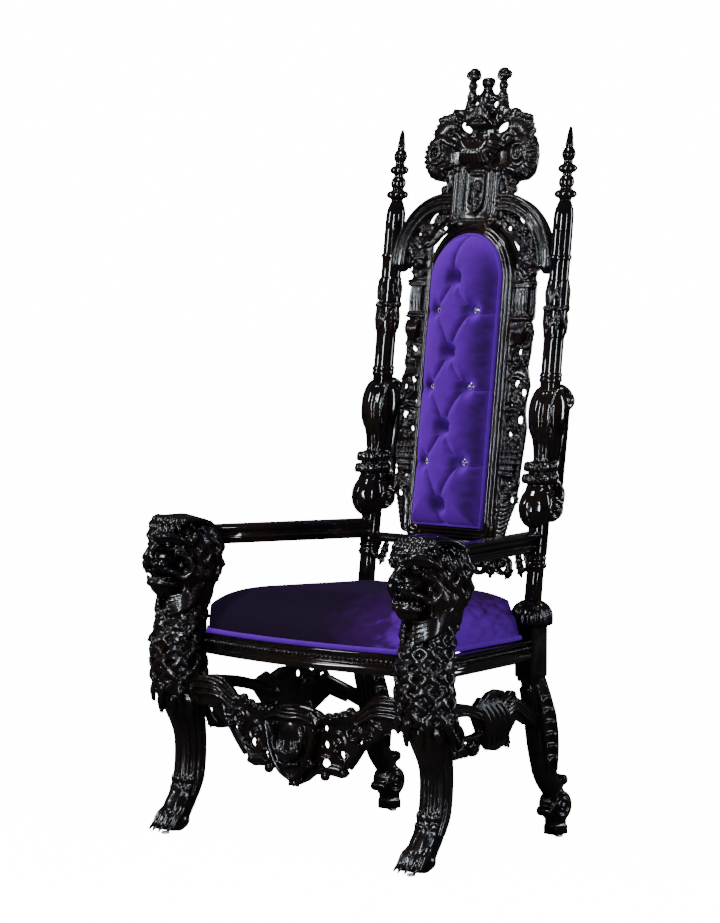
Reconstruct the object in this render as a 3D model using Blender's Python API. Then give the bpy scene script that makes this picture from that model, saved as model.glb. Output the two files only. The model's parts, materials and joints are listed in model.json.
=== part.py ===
"""A carved throne with lion-head arms, a tall pierced back and velvet upholstery.

Metres, +Z up. The throne faces -Y and stands on four glides at Z = 0.
Left and right are the sitter's: left is +X.
"""
import math

import bmesh
import bpy
import numpy as np
from mathutils import Vector
from mathutils.bvhtree import BVHTree
from mathutils.geometry import delaunay_2d_cdt

# Clearance between two pieces that touch
GAP = 0.0003

# Front legs, which are lions from head to paw
LEG_X = 0.415
LEG_Y = -0.278
LEG_HEIGHT = 0.768

# Rear legs and the raked posts that stand on them
POST_X = 0.281
REAR_LEG_HEIGHT = 0.575
BLOCK_HALF = 0.028
BLOCK_Y = 0.220
RAKE = 0.1145
POST_TOP = 1.697
POST_RADIUS = 0.0245

# Glides under the feet
GLIDE_HEIGHT = 0.006
GLIDE_RADIUS = 0.010
FRONT_GLIDE_Y = -0.320
REAR_GLIDE_Y = 0.320

# Seat
RAIL_TOP = 0.485
RAIL_HEIGHT = 0.050
RAIL_THICKNESS = 0.030
SEAT_BOW = 0.050
SEAT_FRONT_Y = -0.218
CUSHION_RISE = 0.122
CUSHION_INSET = 0.004

# Arms
ARM_TOP = 0.739
ARM_HEIGHT = 0.047
ARM_WIDTH = 0.046

# Back frame, its pad and its backing board
FRAME_INNER_HALF = 0.115
FRAME_WIDTH = 0.030
FRAME_BOTTOM = 0.735
FRAME_ARCH_Z = 1.328
FRAME_DEPTH = 0.040
PAD_BULGE = 0.045
BOARD_THICKNESS = 0.008

# Carved work of the back
CONSOLE_BOTTOM = 0.742
CONSOLE_HEIGHT = 0.340
CREST_HEIGHT = 0.420
CREST_FOOT_Z = 1.422
APRON_HEIGHT = 0.105
STRIP_FOOT_Z = 0.712

# Stretchers
FRONT_STRETCHER_Y = -0.275
FRONT_STRETCHER_Z = 0.385
FRONT_STRETCHER_DEPTH = 0.022
SIDE_STRETCHER_Z = 0.372

# Crystal buttons
BUTTON_RADIUS = 0.0065
BUTTON_HEIGHTS = (1.335, 1.258, 1.157, 1.074, 0.976, 0.893, 0.791)
BUTTON_SPREAD = 0.061

# Size of the smallest form the carving keeps
CARVING_GRAIN = 0.0042

MM = 0.001
LACQUER = ((0.006, 0.005, 0.006), 0.16, 0.0)
VELVET = ((0.055, 0.016, 0.300), 0.75, 0.0)
CRYSTAL = ((0.90, 0.92, 0.95), 0.05, 0.0)
PLASTIC = ((0.55, 0.55, 0.52), 0.40, 0.0)


def post_y(z):
    """The raked line that the posts, and everything in the back, lean along."""
    return BLOCK_Y - RAKE * REAR_LEG_HEIGHT + RAKE * z + 0.006


def lean(points):
    """Carry points from the upright drawing of the back to the raked back."""
    moved = np.array(points, float)
    moved[:, 1] += post_y(moved[:, 2])
    return moved


def add_object(name, points, faces, finish):
    """A named object with its own material, its faces turned to point out."""
    mesh = bpy.data.meshes.new(name)
    mesh.from_pydata([tuple(point) for point in points], [], faces)
    work = bmesh.new()
    work.from_mesh(mesh)
    bmesh.ops.recalc_face_normals(work, faces=work.faces)
    work.to_mesh(mesh)
    work.free()
    item = bpy.data.objects.new(name, mesh)
    bpy.context.scene.collection.objects.link(item)
    coat(item, finish)
    return item


def coat(item, finish):
    """Give an object a material of its own."""
    colour, roughness, metallic = finish
    material = bpy.data.materials.new(item.name + "_finish")
    material.use_nodes = True
    shader = material.node_tree.nodes["Principled BSDF"]
    shader.inputs["Base Color"].default_value = (*colour, 1.0)
    shader.inputs["Roughness"].default_value = roughness
    shader.inputs["Metallic"].default_value = metallic
    item.data.materials.clear()
    item.data.materials.append(material)


def settle(item):
    """Turn an object's modifiers into its mesh."""
    graph = bpy.context.evaluated_depsgraph_get()
    material = item.data.materials[0]
    mesh = bpy.data.meshes.new_from_object(item.evaluated_get(graph))
    item.modifiers.clear()
    item.data = mesh
    mesh.materials.clear()
    mesh.materials.append(material)


def keep_main_body(item):
    """Drop loose crumbs and inner skins, and keep the largest connected body."""
    work = bmesh.new()
    work.from_mesh(item.data)
    unseen = set(work.verts)
    bodies = []
    while unseen:
        start = unseen.pop()
        body = {start}
        front = [start]
        while front:
            here = front.pop()
            for edge in here.link_edges:
                other = edge.other_vert(here)
                if other in unseen:
                    unseen.discard(other)
                    body.add(other)
                    front.append(other)
        bodies.append(body)
    bodies.sort(key=len)
    spare = [vert for body in bodies[:-1] for vert in body]
    bmesh.ops.delete(work, geom=spare, context="VERTS")
    work.to_mesh(item.data)
    work.free()


def is_sound(item):
    """Whether every edge joins exactly two faces, and no corner is pinched or doubled."""
    work = bmesh.new()
    work.from_mesh(item.data)
    sound = all(len(edge.link_faces) == 2 for edge in work.edges)
    sound = sound and all(vert.is_manifold for vert in work.verts)
    sound = sound and min((edge.calc_length() for edge in work.edges), default=0) > GAP / 10
    work.free()
    return sound


def weld(item, reach):
    """Merge corners closer than a cut can be trusted to place them."""
    work = bmesh.new()
    work.from_mesh(item.data)
    bmesh.ops.triangulate(work, faces=work.faces)
    bmesh.ops.remove_doubles(work, verts=work.verts, dist=reach)
    bmesh.ops.dissolve_degenerate(work, edges=work.edges, dist=reach)
    bmesh.ops.holes_fill(work, edges=[edge for edge in work.edges if edge.is_boundary])
    bmesh.ops.triangulate(work, faces=work.faces)
    work.to_mesh(item.data)
    work.free()


def swollen_copy(item, amount):
    """A copy of an object whose every face stands out by an amount."""
    copy = item.copy()
    copy.data = item.data.copy()
    bpy.context.scene.collection.objects.link(copy)
    work = bmesh.new()
    work.from_mesh(copy.data)
    bmesh.ops.triangulate(work, faces=work.faces)
    moves = []
    for vert in work.verts:
        normals = [face.normal for face in vert.link_faces]
        move = vert.normal * amount
        for _ in range(30):
            least = min(normals, key=move.dot)
            lack = amount - least.dot(move)
            if lack < 0.05 * amount:
                break
            move = move + least * lack
        moves.append(move * min(1.0, 4 * amount / move.length))
    for vert, move in zip(work.verts, moves):
        vert.co += move
    work.to_mesh(copy.data)
    work.free()
    return copy


def cut(item, cutter):
    """Take a closed object away from another one."""
    knife = item.modifiers.new("Cut", "BOOLEAN")
    knife.operation = "DIFFERENCE"
    knife.solver = "EXACT"
    knife.object = cutter
    settle(item)
    keep_main_body(item)


def skin_tree(item):
    """The faces of an object, ready for a test against another's."""
    corners = [vert.co for vert in item.data.vertices]
    return BVHTree.FromPolygons(corners, [tuple(face.vertices) for face in item.data.polygons])


def fit_to(item, *carriers):
    """Shape the item's contact faces to its carriers, a clearance away."""
    walls = []
    for carrier in carriers:
        whole = item.data
        walls.append(skin_tree(carrier))
        for attempt in range(12):
            item.data = whole.copy()
            cutter = swollen_copy(carrier, GAP * (1.5 + 0.5 * (attempt // 3)))
            cut(item, cutter)
            bpy.data.objects.remove(cutter)
            weld(item, GAP / (1 + 2 * (attempt % 3)))
            skin = skin_tree(item)
            if is_sound(item) and not any(skin.overlap(wall) for wall in walls):
                break


def slice_flat(item, z, above):
    """Cut an object flat at a height, and keep what is above or below it."""
    work = bmesh.new()
    work.from_mesh(item.data)
    everything = list(work.verts) + list(work.edges) + list(work.faces)
    bmesh.ops.bisect_plane(
        work, geom=everything, dist=1e-6, plane_co=(0, 0, z), plane_no=(0, 0, 1),
        clear_inner=above, clear_outer=not above,
    )
    rim = [edge for edge in work.edges if edge.is_boundary]
    bmesh.ops.holes_fill(work, edges=rim)
    bmesh.ops.recalc_face_normals(work, faces=work.faces)
    work.to_mesh(item.data)
    work.free()
    keep_main_body(item)


def mirrored(item, name, finish):
    """The same piece on the other side of the throne."""
    points = [(-vert.co.x, vert.co.y, vert.co.z) for vert in item.data.vertices]
    faces = [tuple(reversed(face.vertices)) for face in item.data.polygons]
    return add_object(name, points, faces, finish)


def ring_skin(rings, closed_section=True, caps=True, closed_path=False):
    """Points and faces of a skin through rings that have the same number of points."""
    count = len(rings)
    sides = len(rings[0])
    points = [tuple(point) for ring in rings for point in ring]
    faces = []
    spans = count if closed_path else count - 1
    turns = sides if closed_section else sides - 1
    for row in range(spans):
        below = row * sides
        above = ((row + 1) % count) * sides
        for side in range(turns):
            after = (side + 1) % sides
            faces.append((below + side, below + after, above + after, above + side))
    if caps and not closed_path:
        faces.append(tuple(range(sides - 1, -1, -1)))
        faces.append(tuple(range((count - 1) * sides, count * sides)))
    return points, faces


def smooth_line(points, samples):
    """A smooth curve through hand-placed points."""
    known = np.asarray(points, float)
    if len(known) == 2:
        share = np.linspace(0, 1, samples)[:, None]
        return known[0] + (known[1] - known[0]) * share
    padded = np.vstack([2 * known[0] - known[1], known, 2 * known[-1] - known[-2]])
    result = []
    for place in np.linspace(0, len(known) - 1, samples):
        span = min(int(place), len(known) - 2)
        t = place - span
        a, b, c, d = padded[span:span + 4]
        result.append(
            0.5 * (2 * b + (c - a) * t + (2 * a - 5 * b + 4 * c - d) * t ** 2
                   + (3 * b - a - 3 * c + d) * t ** 3)
        )
    return np.array(result)


def encloses(loop, point):
    """Whether a point lies inside a closed loop of flat points."""
    inside = False
    for step in range(len(loop)):
        a, b = loop[step - 1], loop[step]
        if (a[1] > point[1]) != (b[1] > point[1]):
            if point[0] < a[0] + (b[0] - a[0]) * (point[1] - a[1]) / (b[1] - a[1]):
                inside = not inside
    return inside


def both_sides(half):
    """A symmetric outline from its right half, which runs from the middle line to the middle line."""
    return half + [(-x, z) for x, z in reversed(half) if x > 0]


class Clay:
    """Closed lumps that overlap, placed in millimetres, which are fused into one carving."""

    def __init__(self, unit=MM, sides=8):
        self.unit = unit
        self.sides = sides
        self.points = []
        self.faces = []

    def lump(self, points, faces):
        start = len(self.points)
        self.points += [tuple(point) for point in points]
        self.faces += [tuple(index + start for index in face) for face in faces]

    def stroke(self, points, widths, depths=None, normal=(0, 1, 0), samples=None):
        """A limb with an oval section and round ends; widths lie across the normal."""
        depths = widths if depths is None else depths
        samples = samples or max(3, 3 * len(points))
        line = smooth_line(points, samples)
        known = np.linspace(0, 1, len(widths))
        places = np.linspace(0, 1, samples)
        wide = np.interp(places, known, widths)
        deep = np.interp(places, np.linspace(0, 1, len(depths)), depths)
        along = np.gradient(line, axis=0)
        along /= np.linalg.norm(along, axis=1)[:, None] + 1e-9
        angles = np.arange(self.sides) * 2 * math.pi / self.sides
        rings = []
        stations = [(0, -0.95, 0.3), (0, -0.7, 0.72)]
        stations += [(row, 0.0, 1.0) for row in range(samples)]
        stations += [(samples - 1, 0.7, 0.72), (samples - 1, 0.95, 0.3)]
        for row, reach, share in stations:
            tangent = along[row]
            face = np.array(normal, float)
            face = face - tangent * (face @ tangent)
            face /= np.linalg.norm(face) + 1e-9
            across = np.cross(tangent, face)
            centre = line[row] + tangent * reach * min(wide[row], deep[row])
            rings.append([
                centre + across * wide[row] * share * math.cos(angle)
                + face * deep[row] * share * math.sin(angle)
                for angle in angles
            ])
        self.lump(*ring_skin(rings))

    def ball(self, centre, radii):
        """An egg with its axes along X, Y and Z."""
        radii = np.ones(3) * np.asarray(radii, float)
        rings = []
        for row in range(1, 7):
            polar = math.pi * row / 7
            rings.append([
                np.asarray(centre, float) + radii * (
                    math.sin(polar) * math.cos(2 * math.pi * side / self.sides),
                    math.sin(polar) * math.sin(2 * math.pi * side / self.sides),
                    math.cos(polar),
                )
                for side in range(self.sides)
            ])
        self.lump(*ring_skin(rings))

    def block(self, low, high):
        """A plain box."""
        rings = [
            [(low[0], low[1], z), (high[0], low[1], z), (high[0], high[1], z), (low[0], high[1], z)]
            for z in (low[2], high[2])
        ]
        self.lump(*ring_skin(rings))

    def plate(self, outline, front, back, holes=()):
        """A board in the XZ plane, pierced by ovals given as x, z, half width, half height and turn."""
        loops = [[Vector(point) for point in outline]]
        for x, z, wide, tall, turn in holes:
            c, w = math.cos(turn), math.sin(turn)
            loop = []
            for step in range(8):
                a, b = wide * math.cos(step * math.pi / 4), tall * math.sin(step * math.pi / 4)
                loop.append(Vector((x + a * c - b * w, z + a * w + b * c)))
            loops.append(loop)
        corners = [corner for loop in loops for corner in loop]
        edges = []
        for loop in loops:
            start = len(edges)
            edges += [(start + step, start + (step + 1) % len(loop)) for step in range(len(loop))]
        flat, _, cells = delaunay_2d_cdt(corners, edges, [], 0, 1e-5)[:3]
        kept = []
        for cell in cells:
            middle = sum((flat[corner] for corner in cell), Vector((0, 0))) / len(cell)
            if sum(encloses(loop, middle) for loop in loops) == 1:
                kept.append(tuple(cell))
        rim = {}
        for cell in kept:
            for step in range(len(cell)):
                edge = (cell[step], cell[(step + 1) % len(cell)])
                rim[frozenset(edge)] = None if frozenset(edge) in rim else edge
        count = len(flat)
        faces = list(kept)
        faces += [tuple(corner + count for corner in reversed(cell)) for cell in kept]
        faces += [(edge[1], edge[0], edge[0] + count, edge[1] + count) for edge in rim.values() if edge]
        self.lump([(x, front, z) for x, z in flat] + [(x, back, z) for x, z in flat], faces)

    def lathe(self, centre, profile, sides=10):
        """A turned solid about a vertical axis, from radius and height pairs given from the bottom up."""
        x, y = centre
        points = [(x, y, profile[0][1])]
        for radius, z in profile:
            points += [(x + radius * math.cos(2 * math.pi * step / sides), y + radius * math.sin(2 * math.pi * step / sides), z)
                       for step in range(sides)]
        points.append((x, y, profile[-1][1]))
        last = len(points) - 1
        faces = []
        for step in range(sides):
            after = (step + 1) % sides
            faces.append((0, 1 + after, 1 + step))
            faces.append((last, last - sides + step, last - sides + after))
            for ring in range(len(profile) - 1):
                low = 1 + ring * sides
                faces.append((low + step, low + after, low + sides + after, low + sides + step))
        self.lump(points, faces)

    def drum(self, centre, radius, half_length, axis=0):
        """A short cylinder along X, Y or Z, with a rounded rim."""
        rings = []
        for reach, share in ((-1, 0.75), (-0.75, 1), (0.75, 1), (1, 0.75)):
            ring = []
            for side in range(self.sides + 4):
                angle = 2 * math.pi * side / (self.sides + 4)
                point = [radius * share * math.cos(angle), radius * share * math.sin(angle)]
                point.insert(axis, reach * half_length)
                ring.append(np.asarray(centre, float) + point)
            rings.append(ring)
        self.lump(*ring_skin(rings))

    def scroll(self, centre, radius, start, turns, width, depth):
        """A flat spiral in the XZ plane that winds in to a raised eye."""
        steps = 5 + int(6 * abs(turns))
        path = []
        for step in range(steps):
            share = step / (steps - 1)
            angle = start + turns * 2 * math.pi * share
            reach = radius * (1 - 0.72 * share)
            path.append((centre[0] + reach * math.cos(angle), centre[1], centre[2] + reach * math.sin(angle)))
        self.stroke(path, [width, width * 0.6], [depth, depth * 0.8], samples=2 * steps)
        self.ball(centre, (width * 0.95, depth * 1.15, width * 0.95))

    def leaf(self, root, tip, width, depth, bend=0.0, lobes=3):
        """An acanthus leaf in the XZ plane: a rib with pairs of pointed lobes."""
        root = np.asarray(root, float)
        tip = np.asarray(tip, float)
        run = tip - root
        length = float(np.linalg.norm(run))
        side = np.array([-run[2], 0.0, run[0]]) / length
        middle = (root + tip) / 2 + side * bend * length
        line = smooth_line([root, middle, tip], 2 * lobes + 3)
        self.stroke([root, middle, tip], [width * 0.42, width * 0.45, width * 0.12],
                    [depth, depth, depth * 0.45])
        for lobe in range(lobes):
            seat = line[2 * lobe + 1]
            reach = width * (1.0 - 0.5 * lobe / lobes)
            for hand in (-1, 1):
                end = seat + side * hand * reach + run / length * width * 0.75
                self.stroke([seat, end], [width * 0.28, width * 0.12], [depth * 0.75, depth * 0.4])

    def flower(self, centre, radius, petals, depth):
        """A rosette that faces -Y."""
        for petal in range(petals):
            angle = 2 * math.pi * petal / petals + 0.3
            end = (centre[0] + 0.66 * radius * math.cos(angle), centre[1],
                   centre[2] + 0.66 * radius * math.sin(angle))
            self.ball(end, (radius * 0.42, depth, radius * 0.42))
        self.ball((centre[0], centre[1] - depth * 0.5, centre[2]), (radius * 0.35, depth, radius * 0.35))

    def fused(self, name, triangles, shape, even=False):
        """Fuse the lumps, soften the joins and thin the facets; even mirrors the left half."""
        points = shape(np.array(self.points) * self.unit)
        for attempt in range(8):
            item = add_object(name, points, self.faces, LACQUER)
            skin = item.modifiers.new("Fuse", "REMESH")
            skin.mode = "VOXEL"
            skin.voxel_size = CARVING_GRAIN * (1 - 0.02 * attempt)
            soften = item.modifiers.new("Soften", "SMOOTH")
            soften.factor = 0.5
            soften.iterations = 1
            settle(item)
            keep_main_body(item)
            thin = item.modifiers.new("Thin", "DECIMATE")
            thin.ratio = min(1.0, triangles / (2 * len(item.data.polygons)))
            if even:
                twin = item.modifiers.new("Twin", "MIRROR")
                twin.use_bisect_axis[0] = True
                twin.merge_threshold = GAP
            settle(item)
            keep_main_body(item)
            weld(item, GAP)
            if is_sound(item):
                break
            bpy.data.objects.remove(item)
        return item


def turned(name, profile, sides, finish, centre=(0.0, 0.0)):
    """A lathe shape from (radius, height) pairs that run upwards."""
    rings = [
        [
            (centre[0] + radius * math.cos(2 * math.pi * side / sides),
             centre[1] + radius * math.sin(2 * math.pi * side / sides), height)
            for side in range(sides)
        ]
        for radius, height in profile
    ]
    return add_object(name, *ring_skin(rings), finish)


def lion_head(clay):
    """Skull, face, open mouth and mane; millimetres from the leg's axis and the floor."""
    clay.ball((0, 28, 686), (60, 74, 66))
    clay.ball((0, -52, 662), (37, 42, 24))
    clay.stroke([(0, -38, 724), (0, -72, 700), (0, -92, 684)], [24, 17, 15], [16, 14, 12])
    clay.ball((0, -94, 674), (19, 13, 13))
    clay.stroke([(30, -58, 612), (0, -84, 606), (-30, -58, 612)], [12], [13])
    clay.ball((0, -46, 610), (32, 34, 13))
    for hand in (-1, 1):
        clay.stroke([(0, -90, 658), (22 * hand, -82, 652), (44 * hand, -48, 634), (50 * hand, -28, 616)],
                    [13, 14, 12, 8], [12, 14, 12, 9])
        clay.stroke([(4 * hand, -76, 712), (30 * hand, -66, 722), (58 * hand, -26, 712)], [11, 13, 9])
        clay.ball((30 * hand, -62, 700), (12, 9, 8))
        clay.stroke([(44 * hand, -34, 690), (60 * hand, -18, 664), (60 * hand, -14, 636),
                     (44 * hand, -34, 616)], [10, 12, 12, 9])
        clay.ball((16 * hand, -80, 640), (7, 7, 10))
    for row, (height, reach) in enumerate(((758, -40), (742, -62))):
        for curl in range(-2, 3):
            clay.stroke(
                [(curl * 22 + 6, reach + 8 * abs(curl), height - 10),
                 (curl * 22, reach - 8 + 8 * abs(curl), height + 2),
                 (curl * 24, reach + 34, height + 4 - 6 * row)], [9, 11, 9])
    locks = 9
    for layer in range(2):
        for lock in range(locks):
            angle = math.radians(18 + 144 * (lock + 0.5 * layer) / locks)
            for hand in (-1, 1):
                x = hand * (50 + 6 * layer) * math.sin(angle)
                top = 704 + 52 * math.cos(angle)
                back = 2 + 42 * layer
                clay.stroke(
                    [(x * 0.92, back - 12, top), (x * 1.08, back + 10, top - 16),
                     (x * 1.0, back + 22, top - 42), (x * 1.0, back + 32, top - 66)],
                    [9, 11, 11, 8])


def lion_body(clay):
    """Neck, shaggy chest, leafed knee, fluted shin and ringed ankle."""
    axis = [(0, -14, 28), (0, -2, 60), (0, 16, 88), (0, 33, 130), (0, 40, 190), (0, 37, 245),
            (0, 20, 300), (0, 7, 350), (0, 2, 400), (0, 2, 480), (0, 20, 540), (0, 34, 590), (0, 30, 640)]
    girth = [34, 37, 36, 35, 34, 36, 47, 58, 61, 59, 55, 53, 55]
    clay.stroke(axis, girth, normal=(1, 0, 0), samples=40)
    flutes = 12
    for flute in range(flutes):
        angle = 2 * math.pi * flute / flutes
        path = [(math.cos(angle) * radius, y + math.sin(angle) * radius, z)
                for (x, y, z), radius in zip(axis[3:7], (33, 32, 34, 40))]
        clay.stroke(path, [7], normal=(1, 0, 0))
    rows = ((556, 53, 13), (516, 58, 13), (474, 62, 13), (430, 65, 13), (388, 65, 13), (352, 62, 14))
    line = smooth_line(axis, 120)
    for row, (height, radius, thick) in enumerate(rows):
        middle = line[np.argmin(abs(line[:, 2] - height))]
        for tuft in range(8):
            angle = 2 * math.pi * (tuft + 0.5 * (row % 2)) / 8
            out = np.array([math.cos(angle), math.sin(angle), 0.0])
            top = middle + out * (radius - 12) + (0, 0, 24)
            belly = middle + out * radius
            tip = middle + out * (radius + 2) + (0, 0, -22)
            clay.stroke([top, belly, tip], [thick * 0.8, thick, 6], [10, 10, 6],
                        normal=tuple(out))
    for angle in (-2.6, -1.57, -0.54, 0.6, 1.57, 2.5):
        out = np.array([math.cos(angle), math.sin(angle), 0.0])
        root = np.array([0, 10, 336]) + out * 54
        tip = np.array([0, 22, 290]) + out * 54
        clay.stroke([root, (root + tip) / 2 + out * 4, tip], [15, 12, 4], [9, 9, 5], normal=tuple(out))
    for nub in (-1, 0, 1):
        clay.ball((nub * 17, -4, 128), (9, 9, 13))


def paw(clay):
    """Four clawed toes on a low pad."""
    clay.ball((0, -12, 30), (38, 38, 26))
    for toe in range(4):
        x = -28.5 + 19 * toe
        reach = 8 * abs(toe - 1.5)
        clay.stroke([(x * 0.8, -6, 66), (x, -38 + reach, 48), (x * 1.08, -58 + reach, 22)],
                    [11, 12, 10], normal=(1, 0, 0))
        clay.stroke([(x * 1.08, -60 + reach, 26), (x * 1.1, -72 + reach, 10)], [6, 3])


def make_front_leg():
    clay = Clay(LEG_HEIGHT / 768, sides=8)
    lion_head(clay)
    lion_body(clay)
    paw(clay)
    leg = clay.fused("front_leg_left", 930, lambda points: points + (LEG_X, LEG_Y, 0))
    slice_flat(leg, GLIDE_HEIGHT + GAP, above=True)
    return leg


def make_rear_leg():
    """Shell dome, square block and cabriole leg with a scroll foot."""
    clay = Clay(REAR_LEG_HEIGHT / 575, sides=8)
    foot = REAR_GLIDE_Y / clay.unit
    block = BLOCK_Y / clay.unit
    half = BLOCK_HALF / clay.unit
    clay.block((-half, block - half, 388), (half, block + half, 526))
    clay.lathe((0, block + 2), [(30, 516), (47, 516), (49, 521), (48, 540), (41, 556), (30, 567), (20, 576)])
    for rib in range(9):
        angle = 2 * math.pi * rib / 9
        out = np.array([math.cos(angle), math.sin(angle), 0.0])
        centre = np.array([0, block + 2, 0])
        clay.stroke([centre + out * 22 + (0, 0, 572), centre + out * 38 + (0, 0, 560),
                     centre + out * 47 + (0, 0, 526)], [6, 9, 9], normal=tuple(out))
    axis = [(0, block, 404), (0, block + 12, 370), (0, block + 32, 306), (0, block + 43, 234),
            (0, block + 48, 165), (0, foot - 20, 110), (0, foot - 12, 80)]
    clay.stroke(axis, [26, 34, 40, 40, 33, 26, 29], [27, 27, 28, 27, 24, 24, 27], normal=(1, 0, 0),
                samples=30)
    clay.drum((0, foot - 12, 78), 38, 26)
    clay.drum((0, foot - 46, 66), 12, 24)
    clay.drum((0, foot + 2, 139), 14, 18)
    clay.block((-20, foot - 33, -4), (20, foot + 13, 50))
    for hand in (-1, 1):
        clay.stroke([(22 * hand, block + 14, 352), (27 * hand, block + 36, 290),
                     (27 * hand, block + 46, 225), (22 * hand, block + 50, 165)], [15, 15, 12, 6],
                    [9, 9, 8, 5], normal=(1, 0, 0))
    leg = clay.fused("rear_leg_left", 310, lambda points: points + (POST_X, 0, 0))
    slice_flat(leg, GLIDE_HEIGHT + GAP, above=True)
    slice_flat(leg, REAR_LEG_HEIGHT, above=False)
    return leg


def post_profile():
    """Radius in millimetres and height of the turned post, from its foot to its spike."""
    low = REAR_LEG_HEIGHT + GAP
    r = POST_RADIUS * 1000
    rings = [(21, low), (20, 0.652), (26, 0.660), (26, 0.667), (21, 0.674), (24, 0.684), (24, 0.690),
             (r, 0.700), (r, CONSOLE_BOTTOM + CONSOLE_HEIGHT), (r + 3, 1.100), (r + 3, 1.108), (r, 1.115),
             (r, 1.195), (r + 4, 1.235), (r + 1, 1.262), (r + 4, 1.290), (r, 1.330), (r, 1.380),
             (r + 3, 1.384), (r, 1.390), (r, 1.500), (17, 1.524), (27, 1.531), (27, 1.541), (14, 1.550),
             (19, 1.566), (12, 1.580), (23, 1.594), (23, 1.601), (12, 1.612), (17, 1.633), (9, 1.650),
             (11, 1.658), (5, POST_TOP)]
    return [(radius * MM, height) for radius, height in rings]


def make_post():
    post = turned("back_post_left", post_profile(), 8, LACQUER, (POST_X, 0))
    for vert in post.data.vertices:
        vert.co.y += post_y(vert.co.z)
    return post


def make_console(post):
    """The scroll bracket around the post, with a curl at the top and a volute below."""
    clay = Clay(CONSOLE_HEIGHT / 340, sides=8)
    clay.block((-24, 4, 30), (24, 48, 318))
    clay.stroke([(0, 4, 312), (0, 0, 280), (0, 2, 238), (0, 6, 205), (0, 8, 160)],
                [28, 33, 31, 25, 22], [31, 40, 38, 29, 25], normal=(0, 1, 0), samples=18)
    for rib in (-1, 0, 1):
        front = -38 + 9 * abs(rib)
        clay.stroke([(rib * 16, front + 10, 322), (rib * 21, front, 286), (rib * 20, front + 2, 244),
                     (rib * 14, front + 16, 165)], [11, 13, 13, 9], [9])
        clay.stroke([(rib * 16, 44, 306), (rib * 16, 46, 170), (rib * 16, 46, 50)], [7])
    for hand in (-1, 1):
        clay.stroke([(28 * hand, 4, 306), (31 * hand, 4, 266), (28 * hand, 4, 226), (21 * hand, 6, 166)],
                    [24, 27, 22, 14], [8], normal=(1, 0, 0))
    clay.drum((0, 46, 302), 20, 28)
    clay.stroke([(0, 10, 332), (0, 32, 332), (0, 56, 312)], [26], [11], normal=(0, 0, 1))
    clay.ball((0, -12, 150), (42, 44, 14))
    clay.ball((0, -12, 122), (45, 47, 14))
    clay.ball((0, -14, 56), (39, 50, 56))
    clay.drum((0, 16, 46), 30, 36)
    clay.drum((0, 16, 46), 13, 41)
    place = np.array([POST_X, 0, CONSOLE_BOTTOM])
    console = clay.fused("scroll_console_left", 170, lambda points: lean(points + place))
    fit_to(console, post)
    return console


def moulding(stations, section, name, finish):
    """Sweep a flat (out, up) section past stations of (centre, outward direction)."""
    rings = [
        [np.asarray(centre) + np.asarray(outward) * out + np.array([0, 0, up]) for out, up in section]
        for centre, outward in stations
    ]
    return add_object(name, *ring_skin(rings), finish)


def rail_section():
    """Lip, hollow for the bead row, and a rounded lower band."""
    top = RAIL_TOP
    half = RAIL_THICKNESS / 2
    low = top - RAIL_HEIGHT
    return [(-half, top), (-half, low), (half - 0.004, low), (half, low + 0.006), (half, low + 0.018),
            (half - 0.005, low + 0.022), (half - 0.005, low + 0.034), (half, low + 0.038), (half, top)]


def front_bow(x):
    """Y of the front rail's middle line."""
    return SEAT_FRONT_Y - SEAT_BOW * (1 - (x / LEG_X) ** 2)


def make_rails():
    section = rail_section()
    stations = []
    for step in range(9):
        x = LEG_X * (step / 4 - 1) * 0.925
        slope = 2 * SEAT_BOW * x / LEG_X ** 2
        out = np.array([slope, -1.0, 0.0]) / math.hypot(slope, 1)
        stations.append(((x, front_bow(x), 0), out))
    front = moulding(stations, section, "seat_rail_front", LACQUER)
    run = np.array([POST_X - LEG_X, BLOCK_Y - LEG_Y, 0])
    out = np.array([run[1], -run[0], 0]) / np.linalg.norm(run)
    start = np.array([LEG_X, LEG_Y, 0]) + out * 0.006
    stations = [(start + run * share, out) for share in (0.03, 0.5, 0.975)]
    side = moulding(stations, section, "seat_rail_left", LACQUER)
    stations = [((x, BLOCK_Y, 0), (0, 1, 0)) for x in (-POST_X, POST_X)]
    plain = [(-0.012, RAIL_TOP), (-0.012, RAIL_TOP - RAIL_HEIGHT), (0.012, RAIL_TOP - RAIL_HEIGHT),
             (0.012, RAIL_TOP)]
    back = moulding(stations, plain, "seat_rail_back", LACQUER)
    return front, side, back


def arm_section():
    half = ARM_WIDTH / 2
    low = ARM_TOP - ARM_HEIGHT
    return [(-half + 0.006, low), (half - 0.006, low), (half - 0.004, low + 0.012), (half - 0.001, low + 0.014),
            (half - 0.001, low + 0.026), (half, low + 0.030), (half, ARM_TOP - 0.006), (half - 0.008, ARM_TOP),
            (-half + 0.008, ARM_TOP), (-half, ARM_TOP - 0.006), (-half, low + 0.030),
            (-half + 0.001, low + 0.026), (-half + 0.001, low + 0.014), (-half + 0.004, low + 0.012)]


def make_arm():
    start = np.array([LEG_X - 0.004, LEG_Y + 0.055, 0])
    end = np.array([POST_X, post_y(ARM_TOP), 0])
    run = end - start
    out = np.array([run[1], -run[0], 0]) / np.linalg.norm(run)
    stations = [(start + run * share, out) for share in (0, 0.35, 0.7, 1)]
    return moulding(stations, arm_section(), "arm_left", LACQUER)


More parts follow.
